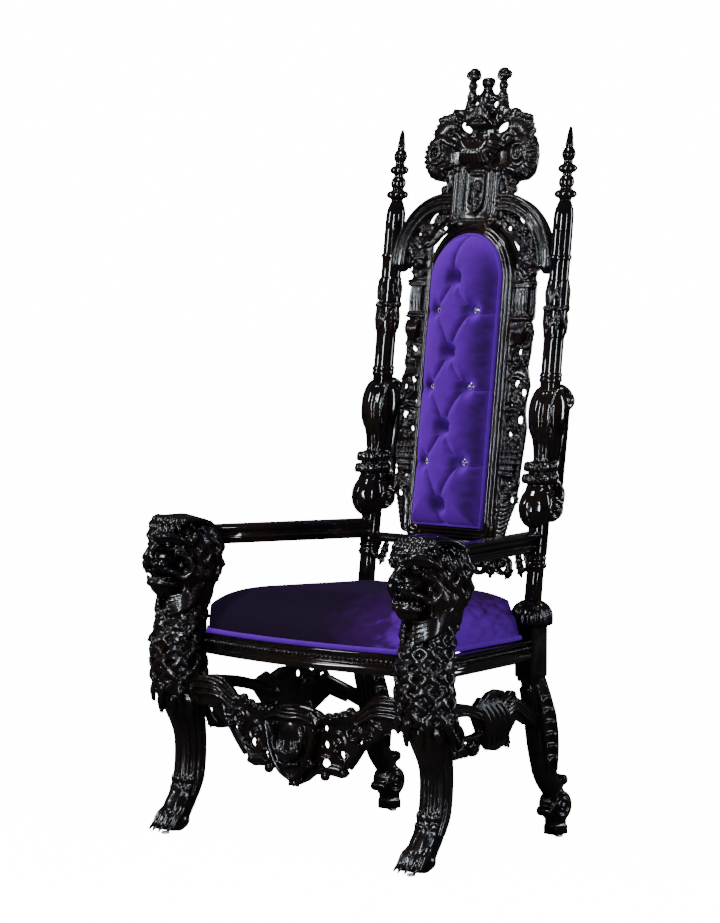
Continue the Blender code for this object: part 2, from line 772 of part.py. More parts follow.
def arch_loop(half, bottom, depth, arc=10, rungs=4):
    """The outline of a round-headed panel, drawn upright at one depth."""
    loop = [(half * (2 * step / 3 - 1), depth, bottom) for step in range(4)]
    loop += [(half, depth, bottom + (FRAME_ARCH_Z - bottom) * step / rungs) for step in range(1, rungs)]
    for step in range(arc + 1):
        angle = math.pi * step / arc
        loop.append((half * math.cos(angle), depth, FRAME_ARCH_Z + half * math.sin(angle)))
    loop += [(-half, depth, bottom + (FRAME_ARCH_Z - bottom) * step / rungs) for step in range(rungs - 1, 0, -1)]
    return loop


def make_frame():
    """The arched moulding around the pad."""
    w = FRAME_WIDTH
    d = FRAME_DEPTH / 2
    section = [(0, d), (0, -d + 0.008), (0.2 * w, -d), (0.5 * w, -d + 0.002), (0.8 * w, -d + 0.008),
               (w, -d + 0.016), (w, d)]
    rings = [lean(arch_loop(FRAME_INNER_HALF + out, FRAME_BOTTOM - out, depth)) for out, depth in section]
    points, faces = ring_skin(rings, closed_path=True)
    return add_object("back_frame", points, faces, LACQUER)


def make_pad():
    """The tufted velvet pad, crowned towards the sitter."""
    half = FRAME_INNER_HALF - GAP * 2
    bottom = FRAME_BOTTOM + GAP * 2
    back = FRAME_DEPTH / 2 - BOARD_THICKNESS - GAP
    front = -FRAME_DEPTH / 2
    crown = FRAME_INNER_HALF - BUTTON_SPREAD - BUTTON_RADIUS - 0.002
    steps = ((0, back), (0, front + 0.004), (0.13 * crown, front - 0.27 * PAD_BULGE),
             (0.5 * crown, front - 0.8 * PAD_BULGE), (crown, front - PAD_BULGE))
    rings = [lean(arch_loop(half - inset, bottom + inset, depth)) for inset, depth in steps]
    return add_object("back_pad", *ring_skin(rings), VELVET)


def make_board():
    """The lacquered board behind the pad."""
    half = FRAME_INNER_HALF - GAP * 2
    bottom = FRAME_BOTTOM + GAP * 2
    depths = (FRAME_DEPTH / 2 - BOARD_THICKNESS, FRAME_DEPTH / 2)
    rings = [lean(arch_loop(half, bottom, depth)) for depth in depths]
    return add_object("back_board", *ring_skin(rings), LACQUER)


def make_buttons():
    """Crystal buttons in a diamond pattern: one, two, one, two down the pad."""
    buttons = []
    front = -FRAME_DEPTH / 2 - PAD_BULGE
    for row, z in enumerate(BUTTON_HEIGHTS):
        spread = (0,) if row % 2 == 0 else (-BUTTON_SPREAD, BUTTON_SPREAD)
        for x in spread:
            rings = []
            for radius, depth in ((1.0, 0.0), (0.55, -0.6)):
                rings.append([
                    (x + BUTTON_RADIUS * radius * math.cos(2 * math.pi * side / 6),
                     front - GAP + BUTTON_RADIUS * depth,
                     z + BUTTON_RADIUS * radius * math.sin(2 * math.pi * side / 6))
                    for side in range(6)
                ])
            rings = [lean(ring) for ring in rings]
            name = "crystal_button_%d" % (len(buttons) + 1)
            buttons.append(add_object(name, *ring_skin(rings), CRYSTAL))
    return buttons


def make_apron(posts, frame):
    """The carved cross-piece under the back frame."""
    clay = Clay(APRON_HEIGHT / 105, sides=8)
    reach = POST_X / clay.unit
    clay.block((-reach, -14, 72), (reach, 14, 100))
    for hand in (-1, 1):
        clay.scroll((178 * hand, 0, 48), 30, math.pi / 2, 1.1 * hand, 12, 15)
        clay.scroll((96 * hand, 0, 44), 30, math.pi / 2, -1.1 * hand, 12, 15)
        clay.leaf((222 * hand, 0, 66), (236 * hand, 0, 24), 14, 12, lobes=2)
        clay.leaf((136 * hand, 0, 66), (136 * hand, 0, 14), 17, 14, lobes=2)
        clay.stroke([(50 * hand, 0, 60), (28 * hand, 0, 30), (0, 0, 26)], [14, 12, 12], [15])
    clay.leaf((0, -4, 70), (0, -4, 2), 22, 15, lobes=2)
    foot = FRAME_BOTTOM - FRAME_WIDTH - APRON_HEIGHT + 0.006
    apron = clay.fused("back_apron", 200, lambda points: lean(points + (0, 0, foot)), even=True)
    fit_to(apron, *posts, frame)
    return apron


def make_crest(posts, frame):
    """Hood arches, tablet, shell lobes and the crown with twin spires."""
    clay = Clay(CREST_HEIGHT / 420, sides=8)
    body = [(0, 40), (76, 40), (78, 62), (78, 122), (92, 137), (112, 143), (150, 148), (170, 162), (177, 186), (179, 208),
            (175, 230), (166, 250), (150, 262), (150, 298), (138, 309), (114, 305), (104, 320), (68, 322), (60, 350),
            (34, 356), (0, 358)]
    piercings = [(hand * 61, 276, 22, 11, 0.35 * hand) for hand in (-1, 1)]
    piercings += [(hand * 35, 331, 8, 8, 0) for hand in (-1, 1)]
    clay.plate(both_sides(body), -8, 12, piercings)
    for hand in (-1, 1):
        spandrel = [(66, 38), (76, 98), (110, 94), (150, 82), (190, 56), (214, 22), (224, -6), (212, -30), (184, -34),
                    (162, -20), (140, -8), (118, 12), (100, 22), (84, 32)]
        clay.plate([(x * hand, z) for x, z in spandrel], -4, 10, [(148 * hand, 53, 19, 8, -0.7 * hand)])
    hood_x, hood_z, hood_r = 92, -54, 150
    hood = []
    for step in range(7):
        angle = math.radians(98 - 100 * step / 6)
        hood.append((hood_x + hood_r * math.cos(angle), 0, hood_z + hood_r * math.sin(angle)))
    for hand in (-1, 1):
        arch = [(x * hand, y, z) for x, y, z in hood]
        clay.stroke(arch, [19, 21], [18, 20], samples=16)
        clay.stroke([(x * hand * 1.02, -13, z + 3) for x, y, z in hood], [9], [9], samples=14)
        clay.ball((98 * hand, -8, 108), (17, 12, 17))
        clay.ball((176 * hand, -4, -2), (20, 12, 20))
        clay.stroke([(104 * hand, 0, 120), (92 * hand, 0, 150), (98 * hand, 0, 176)], [12], [14])
        clay.drum((66 * hand, -13, 116), 11, 58, axis=2)
        clay.drum((48 * hand, -10, 116), 9, 58, axis=2)
        clay.scroll((60 * hand, -12, 60), 16, math.pi / 2, -1.0 * hand, 9, 14)
        clay.ball((132 * hand, -6, 208), (46, 20, 46))
        clay.scroll((136 * hand, -20, 212), 30, -0.5, 1.1 * hand, 9, 11)
        for fold in range(7):
            angle = math.radians(-118 + 34 * fold)
            centre = np.array([132 * hand, -4, 206])
            way = np.array([hand * math.cos(angle), 0, math.sin(angle)])
            clay.stroke([centre + way * 26, centre + way * 46], [8, 8], [15, 12])
        clay.stroke([(60 * hand, 0, 240), (84 * hand, 0, 262), (104 * hand, 0, 258)], [12, 12, 10], [13])
        for rib in range(5):
            angle = math.radians(112 - 26 * rib)
            root = np.array([(104 + 2 * rib) * hand, 0, 262])
            tip = root + np.array([hand * 46 * math.cos(angle), 0, 46 * math.sin(angle)])
            clay.stroke([root, tip], [7, 9], [10, 8])
        spire = ((17, 306), (15, 330), (13, 345), (15, 354), (11, 362), (12, 378), (9, 386), (9, 400))
        clay.stroke([(51 * hand, 0, z) for r, z in spire], [r for r, z in spire], samples=20)
        clay.ball((51 * hand, 0, 404), (17, 15, 16))
        clay.stroke([(50 * hand, 0, 336), (30 * hand, 0, 348), (8 * hand, 0, 346)], [8], [9])
        clay.stroke([(58 * hand, 0, 300), (82 * hand, 0, 286), (98 * hand, 0, 268)], [12], [12])
        clay.stroke([(36 * hand, 0, 250), (60 * hand, 0, 238), (84 * hand, 0, 230)], [14], [14])
    clay.block((-58, -8, 52), (58, 14, 182))
    clay.block((-74, -14, 166), (74, 14, 186))
    clay.drum((0, 0, 116), 10, 64, axis=2)
    clay.ball((0, -8, 212), (52, 26, 40))
    clay.stroke([(-40, -26, 224), (0, -32, 204), (40, -26, 224)], [10], [10])
    clay.ball((0, -2, 252), (24, 20, 16))
    clay.ball((0, 0, 272), (20, 18, 14))
    clay.stroke([(-48, 0, 292), (0, -6, 286), (48, 0, 292)], [12], [18])
    clay.ball((0, -2, 318), (32, 24, 40))
    clay.lathe((0, 0), [(22, 336), (22, 350), (14, 364), (12, 371), (16, 378), (16, 391), (10, 397)])
    clay.stroke([(-80, 0, 44), (0, 0, 40), (80, 0, 44)], [16], [16])
    crest = clay.fused("crest", 900, lambda points: lean(points + (0, 0, CREST_FOOT_Z)), even=True)
    fit_to(crest, *posts, frame)
    return crest


def make_strip(frame, console, post, crest, apron):
    """The pierced carving between the frame and the left post."""
    clay = Clay(MM, sides=8)
    inner = (FRAME_INNER_HALF + FRAME_WIDTH) * 1000
    foot = STRIP_FOOT_Z * 1000
    x = inner + 32
    t = 12
    edge = ((4, 16), (40, 30), (88, 52), (128, 56), (188, 60), (225, 64), (268, 68), (300, 60), (330, 60), (368, 68),
            (410, 56), (450, 62), (500, 64), (523, 56), (530, 64), (600, 62), (625, 58), (655, 64), (676, 68), (706, 60))
    piercings = [(27, 448, 9, 7), (7, 423, 5, 7), (26, 371, 8, 7), (51, 353, 7, 10), (9, 318, 6, 6),
                 (48, 285, 7, 10), (19, 253, 8, 7), (45, 96, 6, 9)]
    clay.plate([(inner, foot + 4)] + [(inner + out, foot + up) for up, out in edge] + [(inner, foot + 706)], -4, 10,
               [(inner + out, foot + up, wide, tall, 0.3) for out, up, wide, tall in piercings])
    clay.flower((x + 4, -4, foot + 668), 28, 6, 13)
    for hand in (-1, 0, 1):
        clay.stroke([(x + 13 * hand, -2, foot + 532), (x + 15 * hand, -4, foot + 606)], [8], [12])
    clay.stroke([(inner, 0, foot + 610), (x + 30, 0, foot + 612)], [9], [15])
    clay.stroke([(inner, 0, foot + 526), (x + 28, 0, foot + 526)], [9], [15])
    clay.ball((x, -6, foot + 494), (24, 16, 26))
    for height, way in ((400, 1), (330, -1), (276, 1)):
        clay.ball((x + 14 * way, -4, foot + height), (14, 13, 17))
    clay.ball((x + 2, -2, foot + 224), (26, 15, 14))
    for hand in (-1, 0, 1):
        clay.stroke([(x - 4 + 13 * hand, -2, foot + 150), (x - 4 + 16 * hand, -4, foot + 212)], [9], [14])
    clay.scroll((x - 6, 0, foot + 112), 22, 0.4, 0.8, 9, t)
    for barb in range(4):
        z = foot + 12 + 20 * barb
        clay.stroke([(inner + 4, 0, z), (inner + 26 + 7 * barb, 0, z + 9)], [10, 7], [12, 9])
    strip = clay.fused("openwork_left", 320, lean)
    fit_to(strip, frame, console, post, crest, apron)
    return strip


def make_front_stretcher(legs):
    """The arched apron between the front legs, with a shell cartouche and two drops."""
    clay = Clay(MM, sides=8)
    z0 = FRONT_STRETCHER_Z * 1000
    t = FRONT_STRETCHER_DEPTH / 2 * 1000
    end = LEG_X * 1000 - 18
    low = z0 - 385
    body = [(0, 157), (32, 170), (58, 188), (80, 190), (110, 192), (150, 188), (166, 200), (200, 238), (226, 270),
            (244, 282), (262, 286), (284, 306), (310, 318), (350, 314), (end, 306), (end, 380), (350, 386), (320, 390),
            (285, 394), (255, 388), (228, 368), (205, 344), (178, 330), (150, 327), (130, 333), (112, 330), (98, 322),
            (70, 338), (40, 345), (0, 347)]
    piercings = [(92, 219, 15, 11, 0.3), (150, 245, 8, 11, -0.3), (218, 274, 8, 9, 0.5), (172, 208, 6, 8, 0.4),
                 (104, 262, 6, 8, 0.2)]
    clay.plate(both_sides([(x, z + low) for x, z in body]), -t + 3, t - 2,
               [(x * hand, z + low, wide, tall, turn * hand) for hand in (-1, 1)
                for x, z, wide, tall, turn in piercings])
    for hand in (-1, 1):
        clay.stroke([(end * hand, 6, z0 - 28), (330 * hand, 2, z0 - 24), (268 * hand, 0, z0 - 26),
                     (214 * hand, 0, z0 - 52)], [30, 27, 22, 20], [16, 15, t + 3, t + 2])
        clay.stroke([(end * hand, -8, z0 - 12), (310 * hand, -12, z0 - 8), (258 * hand, -12, z0 - 16),
                     (208 * hand, -10, z0 - 44)], [9], [9])
        clay.stroke([(212 * hand, -4, z0 - 52), (184 * hand, -6, z0 - 74), (190 * hand, -6, z0 - 104)], [10], [t])
        clay.stroke([(128 * hand, -4, z0 - 66), (160 * hand, -6, z0 - 82), (150 * hand, -6, z0 - 108)], [9], [t])
        clay.stroke([(224 * hand, -2, z0 - 108), (190 * hand, -2, z0 - 146), (158 * hand, -2, z0 - 186)], [8], [t])
        clay.stroke([(95 * hand, -4, z0 - 176), (95 * hand, -4, z0 - 198)], [14, 11], [14, 11])
        clay.stroke([(72 * hand, -14, z0 - 66), (84 * hand, -16, z0 - 110), (58 * hand, -16, z0 - 180),
                     (16 * hand, -12, z0 - 214)], [15, 16, 15, 10], [16, 16, 14, 10])
    clay.ball((0, -12, z0 - 124), (74, 26, 66))
    for rib in range(-3, 4):
        clay.stroke([(rib * 10, -30, z0 - 82), (rib * 15, -38, z0 - 124), (rib * 9, -28, z0 - 180)],
                    [8, 10, 6], [9])
    clay.stroke([(-84, -16, z0 - 60), (0, -22, z0 - 52), (84, -16, z0 - 60)], [13], [18])
    clay.leaf((0, -14, z0 - 170), (0, -12, z0 - 226), 24, 14, lobes=2)
    place = (0, FRONT_STRETCHER_Y, 0)
    stretcher = clay.fused("front_stretcher", 520, lambda points: points + place, even=True)
    fit_to(stretcher, *legs)
    return stretcher


def make_side_stretcher(front_leg, rear_leg):
    """Scrolled stretcher from a front leg to a rear leg, clasped by a leaf."""
    clay = Clay(MM, sides=8)
    start = np.array([LEG_X, LEG_Y + 0.03, 0])
    run = np.array([POST_X, BLOCK_Y + 0.03, 0]) - start
    length = np.linalg.norm(run) * 1000
    z0 = SIDE_STRETCHER_Z * 1000
    clay.stroke([(14, 0, z0 - 24), (90, 0, z0 - 14), (160, 0, z0 - 22), (236, 0, z0 - 50)], [22, 18, 16, 18], [15])
    clay.stroke([(20, -11, z0 - 12), (90, -13, z0 - 4), (160, -13, z0 - 12), (230, -12, z0 - 36)], [7], [7])
    clay.scroll((96, 0, z0 - 84), 36, math.pi / 2, -1.1, 12, 14)
    clay.stroke([(40, 0, z0 - 30), (52, 0, z0 - 80), (76, 0, z0 - 116), (120, 0, z0 - 118)], [14], [14])
    clay.scroll((184, 0, z0 - 104), 25, math.pi, 1.1, 11, 13)
    clay.stroke([(128, 0, z0 - 84), (176, 0, z0 - 86), (236, 0, z0 - 78)], [11], [13])
    for fold in range(4):
        s = 238 + 30 * fold
        clay.stroke([(s - 10, -4, z0 - 8 + 4 * (fold % 2)), (s + 4, -12, z0 - 60), (s - 6, -6, z0 - 118)],
                    [15, 18, 10], [17, 20, 14])
    clay.stroke([(330, 0, z0 - 34), (372, 0, z0 - 26), (420, 0, z0 - 48), (length - 8, 0, z0 - 96)],
                [20, 18, 19, 22], [16])
    clay.leaf((330, 0, z0 - 80), (352, 0, z0 - 130), 16, 12, lobes=2)
    along = run / np.linalg.norm(run)
    across = np.array([-along[1], along[0], 0])
    turn = np.array([along, across, (0, 0, 1)])
    stretcher = clay.fused("side_stretcher_left", 200, lambda points: points @ turn + start)
    fit_to(stretcher, front_leg, rear_leg)
    return stretcher


def seat_loop(inset):
    """The plan of the cushion: a bowed front and sides that run in to the back."""
    front_half = LEG_X - 0.030
    back_half = POST_X - 0.004
    back_y = BLOCK_Y + 0.012
    loop = []
    for step in range(9):
        x = (front_half - inset) * (step / 4 - 1)
        loop.append((x, front_bow(x) - 0.5 * RAIL_THICKNESS + inset))
    steps = 5
    for step in range(1, steps):
        share = step / steps
        y = front_bow(front_half) + inset + (back_y - front_bow(front_half) - 2 * inset) * share
        loop.append((front_half + (back_half - front_half) * share - inset, y))
    loop += [(back_half - inset, back_y - inset), (0, back_y - inset), (-back_half + inset, back_y - inset)]
    for step in range(steps - 1, 0, -1):
        share = step / steps
        y = front_bow(front_half) + inset + (back_y - front_bow(front_half) - 2 * inset) * share
        loop.append((-front_half - (back_half - front_half) * share + inset, y))
    return loop


def make_cushion(carriers):
    """The crowned seat cushion on the rails."""
    foot = RAIL_TOP + GAP
    steps = ((0.0, 0.0), (0.0, 0.006), (0.010, 0.30), (0.035, 0.60), (0.085, 0.85), (0.150, 0.97), (0.200, 1.0))
    rings = []
    for inset, rise in steps:
        height = foot + max(rise * CUSHION_RISE, 0.0)
        rings.append([(x, y, height) for x, y in seat_loop(CUSHION_INSET + inset)])
    cushion = add_object("seat_cushion", *ring_skin(rings), VELVET)
    fit_to(cushion, *carriers)
    return cushion


def make_glides():
    places = ((LEG_X, FRONT_GLIDE_Y, "front_left"), (-LEG_X, FRONT_GLIDE_Y, "front_right"),
              (POST_X, REAR_GLIDE_Y, "rear_left"), (-POST_X, REAR_GLIDE_Y, "rear_right"))
    for x, y, corner in places:
        profile = ((GLIDE_RADIUS - 0.001, 0), (GLIDE_RADIUS, GLIDE_HEIGHT))
        turned("glide_" + corner, profile, 10, PLASTIC, (x, y))


def pair(item):
    """Name and make the right-hand twin of a left-hand piece."""
    return item, mirrored(item, item.name.replace("_left", "_right"), LACQUER)


def build():
    for old in list(bpy.data.objects):
        bpy.data.objects.remove(old)
    front_legs = pair(make_front_leg())
    rear_legs = pair(make_rear_leg())
    posts = pair(make_post())
    console = make_console(posts[0])
    rail_front, rail_side, rail_back = make_rails()
    fit_to(rail_front, *front_legs)
    fit_to(rail_side, front_legs[0], rear_legs[0])
    fit_to(rail_back, *rear_legs)
    arm = make_arm()
    fit_to(arm, front_legs[0], posts[0], console)
    frame = make_frame()
    make_pad()
    make_board()
    make_buttons()
    apron = make_apron(posts, frame)
    crest = make_crest(posts, frame)
    strip = make_strip(frame, console, posts[0], crest, apron)
    make_front_stretcher(front_legs)
    side_stretcher = make_side_stretcher(front_legs[0], rear_legs[0])
    make_cushion((*front_legs, *rear_legs, *posts))
    make_glides()
    for item in (console, rail_side, arm, strip, side_stretcher):
        pair(item)


build()
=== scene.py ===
"""The looks of the throne: carved gloss-black lacquer, purple velvet and crystal buttons.

Metres, +Z up. The throne faces -Y, and left is the sitter's left, +X.
Each carved piece is a set of closed lumps, in millimetres, fused into one fine skin.
"""
import json
import math

import bmesh
import bpy
import numpy as np
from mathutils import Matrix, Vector
from mathutils.geometry import delaunay_2d_cdt

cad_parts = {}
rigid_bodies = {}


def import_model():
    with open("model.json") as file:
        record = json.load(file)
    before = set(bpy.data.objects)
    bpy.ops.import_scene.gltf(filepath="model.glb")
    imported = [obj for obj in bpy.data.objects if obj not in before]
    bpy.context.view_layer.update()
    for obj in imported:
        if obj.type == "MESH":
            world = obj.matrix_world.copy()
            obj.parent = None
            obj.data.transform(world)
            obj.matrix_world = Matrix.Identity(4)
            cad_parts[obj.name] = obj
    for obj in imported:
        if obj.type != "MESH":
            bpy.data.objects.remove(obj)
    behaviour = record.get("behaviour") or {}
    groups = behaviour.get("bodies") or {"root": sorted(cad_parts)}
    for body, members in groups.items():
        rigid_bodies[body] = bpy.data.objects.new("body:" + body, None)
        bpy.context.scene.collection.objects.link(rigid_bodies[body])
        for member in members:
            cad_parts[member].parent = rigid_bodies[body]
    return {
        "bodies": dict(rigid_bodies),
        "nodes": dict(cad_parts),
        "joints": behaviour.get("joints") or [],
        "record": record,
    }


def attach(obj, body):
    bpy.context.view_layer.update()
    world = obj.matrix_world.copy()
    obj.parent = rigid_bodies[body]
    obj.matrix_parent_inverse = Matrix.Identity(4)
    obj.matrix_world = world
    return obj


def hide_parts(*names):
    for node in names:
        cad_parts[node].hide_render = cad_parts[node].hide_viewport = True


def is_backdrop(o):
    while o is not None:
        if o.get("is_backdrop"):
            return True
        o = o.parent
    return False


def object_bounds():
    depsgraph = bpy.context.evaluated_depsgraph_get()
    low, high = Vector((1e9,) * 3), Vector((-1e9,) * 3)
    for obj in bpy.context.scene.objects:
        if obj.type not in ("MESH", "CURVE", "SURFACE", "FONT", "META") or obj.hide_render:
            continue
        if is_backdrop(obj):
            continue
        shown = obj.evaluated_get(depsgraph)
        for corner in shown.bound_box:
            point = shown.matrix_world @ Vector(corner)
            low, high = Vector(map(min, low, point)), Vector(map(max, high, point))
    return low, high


# Places shared with the CAD
LEG_X = 0.415
LEG_Y = -0.278
POST_X = 0.281
BLOCK_Y = 0.220
RAKE = 0.1145
REAR_LEG_HEIGHT = 0.575
RAIL_TOP = 0.485
RAIL_HEIGHT = 0.050
SEAT_BOW = 0.050
SEAT_FRONT_Y = -0.218
CUSHION_RISE = 0.122
ARM_TOP = 0.739
FRAME_INNER_HALF = 0.115
FRAME_WIDTH = 0.030
FRAME_BOTTOM = 0.735
FRAME_ARCH_Z = 1.328
FRAME_DEPTH = 0.040
CREST_FOOT_Z = 1.422
STRIP_FOOT_Z = 0.712
CONSOLE_BOTTOM = 0.742
APRON_FOOT = 0.606
FRONT_STRETCHER_Y = -0.275
FRONT_STRETCHER_Z = 385
SIDE_STRETCHER_Z = 372
BUTTON_ROWS = (1.335, 1.258, 1.157, 1.074, 0.976, 0.893, 0.791)
BUTTON_SPREAD = 0.061
FRONT_GLIDE_Y = -0.320
REAR_GLIDE_Y = 0.320

# Plan distances that the cushion keeps from the lions and from the rear blocks
LION_CLEARANCE = 0.080
BLOCK_CLEARANCE = 0.056

# Grains of the fused carvings, and the share of their faces that is kept
GRAIN = 0.0022
LEG_GRAIN = 0.0024
POST_GRAIN = 0.0018
STRIP_GRAIN = 0.0021
KEPT_FACES = 0.42

# How far a drill reaches in front of a board and behind it, in millimetres
DRILL_REACH = 70

# The photograph's camera
CAMERA_PLACE = (6.37923, -6.36943, 1.48821)
CAMERA_TURN = (86.282, 0, 45.37)
CAMERA_LENS = 148.42
SENSOR_WIDTH = 36

# Velvet colours with painted sheen, darker face on and brighter where the surface turns away from the view; the
# seat's are painted side light that runs from dark at its right side to bright at its left
PAD_PAINTED_SHEEN = ((0.08, (0.014, 0.0, 0.042)), (0.36, (0.064, 0.001, 0.20)), (0.8, (0.115, 0.006, 0.35)))
PIPING_PAINTED_SHEEN = ((0.1, (0.045, 0.001, 0.15)), (0.7, (0.10, 0.004, 0.33)))
SEAT_PAINTED_SIDE_LIGHT = ((0.18, (0.0055, 0.0, 0.0095)), (0.34, (0.020, 0.0, 0.045)), (0.43, (0.085, 0.002, 0.27)))

MM = 0.001


def post_y(z):
    """The raked line that everything in the back leans along."""
    return BLOCK_Y - RAKE * REAR_LEG_HEIGHT + RAKE * z + 0.006


def lean(points):
    """Points of the upright back, moved onto its raked line."""
    moved = np.array(points, float)
    moved[:, 1] += post_y(moved[:, 2])
    return moved


def smooth_line(points, samples):
    """A smooth curve through given points."""
    known = np.asarray(points, float)
    if len(known) == 2:
        return known[0] + (known[1] - known[0]) * np.linspace(0, 1, samples)[:, None]
    padded = np.vstack([2 * known[0] - known[1], known, 2 * known[-1] - known[-2]])
    places = np.linspace(0, len(known) - 1, samples)
    spans = np.minimum(places.astype(int), len(known) - 2)
    t = (places - spans)[:, None]
    a, b, c, d = (padded[spans + step] for step in range(4))
    return 0.5 * (2 * b + (c - a) * t + (2 * a - 5 * b + 4 * c - d) * t ** 2 + (3 * b - a - 3 * c + d) * t ** 3)


def skin(rings, closed_path=False):
    """Points and faces of a closed skin through equal rings."""
    rings = np.asarray(rings, float)
    count, sides = rings.shape[:2]
    faces = []
    for row in range(count if closed_path else count - 1):
        low = row * sides
        high = ((row + 1) % count) * sides
        for side in range(sides):
            after = (side + 1) % sides
            faces.append((low + side, low + after, high + after, high + side))
    if not closed_path:
        faces.append(tuple(range(sides - 1, -1, -1)))
        faces.append(tuple(range((count - 1) * sides, count * sides)))
    return rings.reshape(-1, 3), faces


def add_object(name, points, faces, material):
    """An object with the given points and faces, whose faces look outwards."""
    mesh = bpy.data.meshes.new(name)
    mesh.from_pydata([tuple(point) for point in points], [], faces)
    work = bmesh.new()
    work.from_mesh(mesh)
    bmesh.ops.recalc_face_normals(work, faces=work.faces)
    work.to_mesh(mesh)
    work.free()
    item = bpy.data.objects.new(name, mesh)
    bpy.context.scene.collection.objects.link(item)
    item.data.materials.append(material)
    return item


def settle(item):
    """Turn an object's modifiers into its mesh."""
    graph = bpy.context.evaluated_depsgraph_get()
    mesh = bpy.data.meshes.new_from_object(item.evaluated_get(graph))
    item.modifiers.clear()
    item.data = mesh


def shade(item, smooth=True):
    """Smooth or flat shading on the whole piece."""
    item.data.polygons.foreach_set("use_smooth", [smooth] * len(item.data.polygons))
    item.data.update()


def place(item, slot, *nodes):
    """The piece rides on the throne and stands for its CAD nodes."""
    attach(item, "root")
    if nodes:
        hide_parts(*nodes)


def mirrored(item, name):
    """The same piece on the other side of the throne."""
    mesh = item.data.copy()
    flat = np.empty(len(mesh.vertices) * 3)
    mesh.vertices.foreach_get("co", flat)
    flat[0::3] *= -1
    mesh.vertices.foreach_set("co", flat)
    mesh.flip_normals()
    mesh.update()
    twin = bpy.data.objects.new(name, mesh)
    bpy.context.scene.collection.objects.link(twin)
    return twin


def encloses(loop, point):
    """Whether a point lies inside a closed loop of flat points."""
    inside = False
    for step in range(len(loop)):
        a, b = loop[step - 1], loop[step]
        if (a[1] > point[1]) != (b[1] > point[1]):
            if point[0] < a[0] + (b[0] - a[0]) * (point[1] - a[1]) / (b[1] - a[1]):
                inside = not inside
    return inside


def both_sides(half):
    """A symmetric outline from its right half, which runs from the middle line to the middle line."""
    return half + [(-x, z) for x, z in reversed(half) if x > 0]


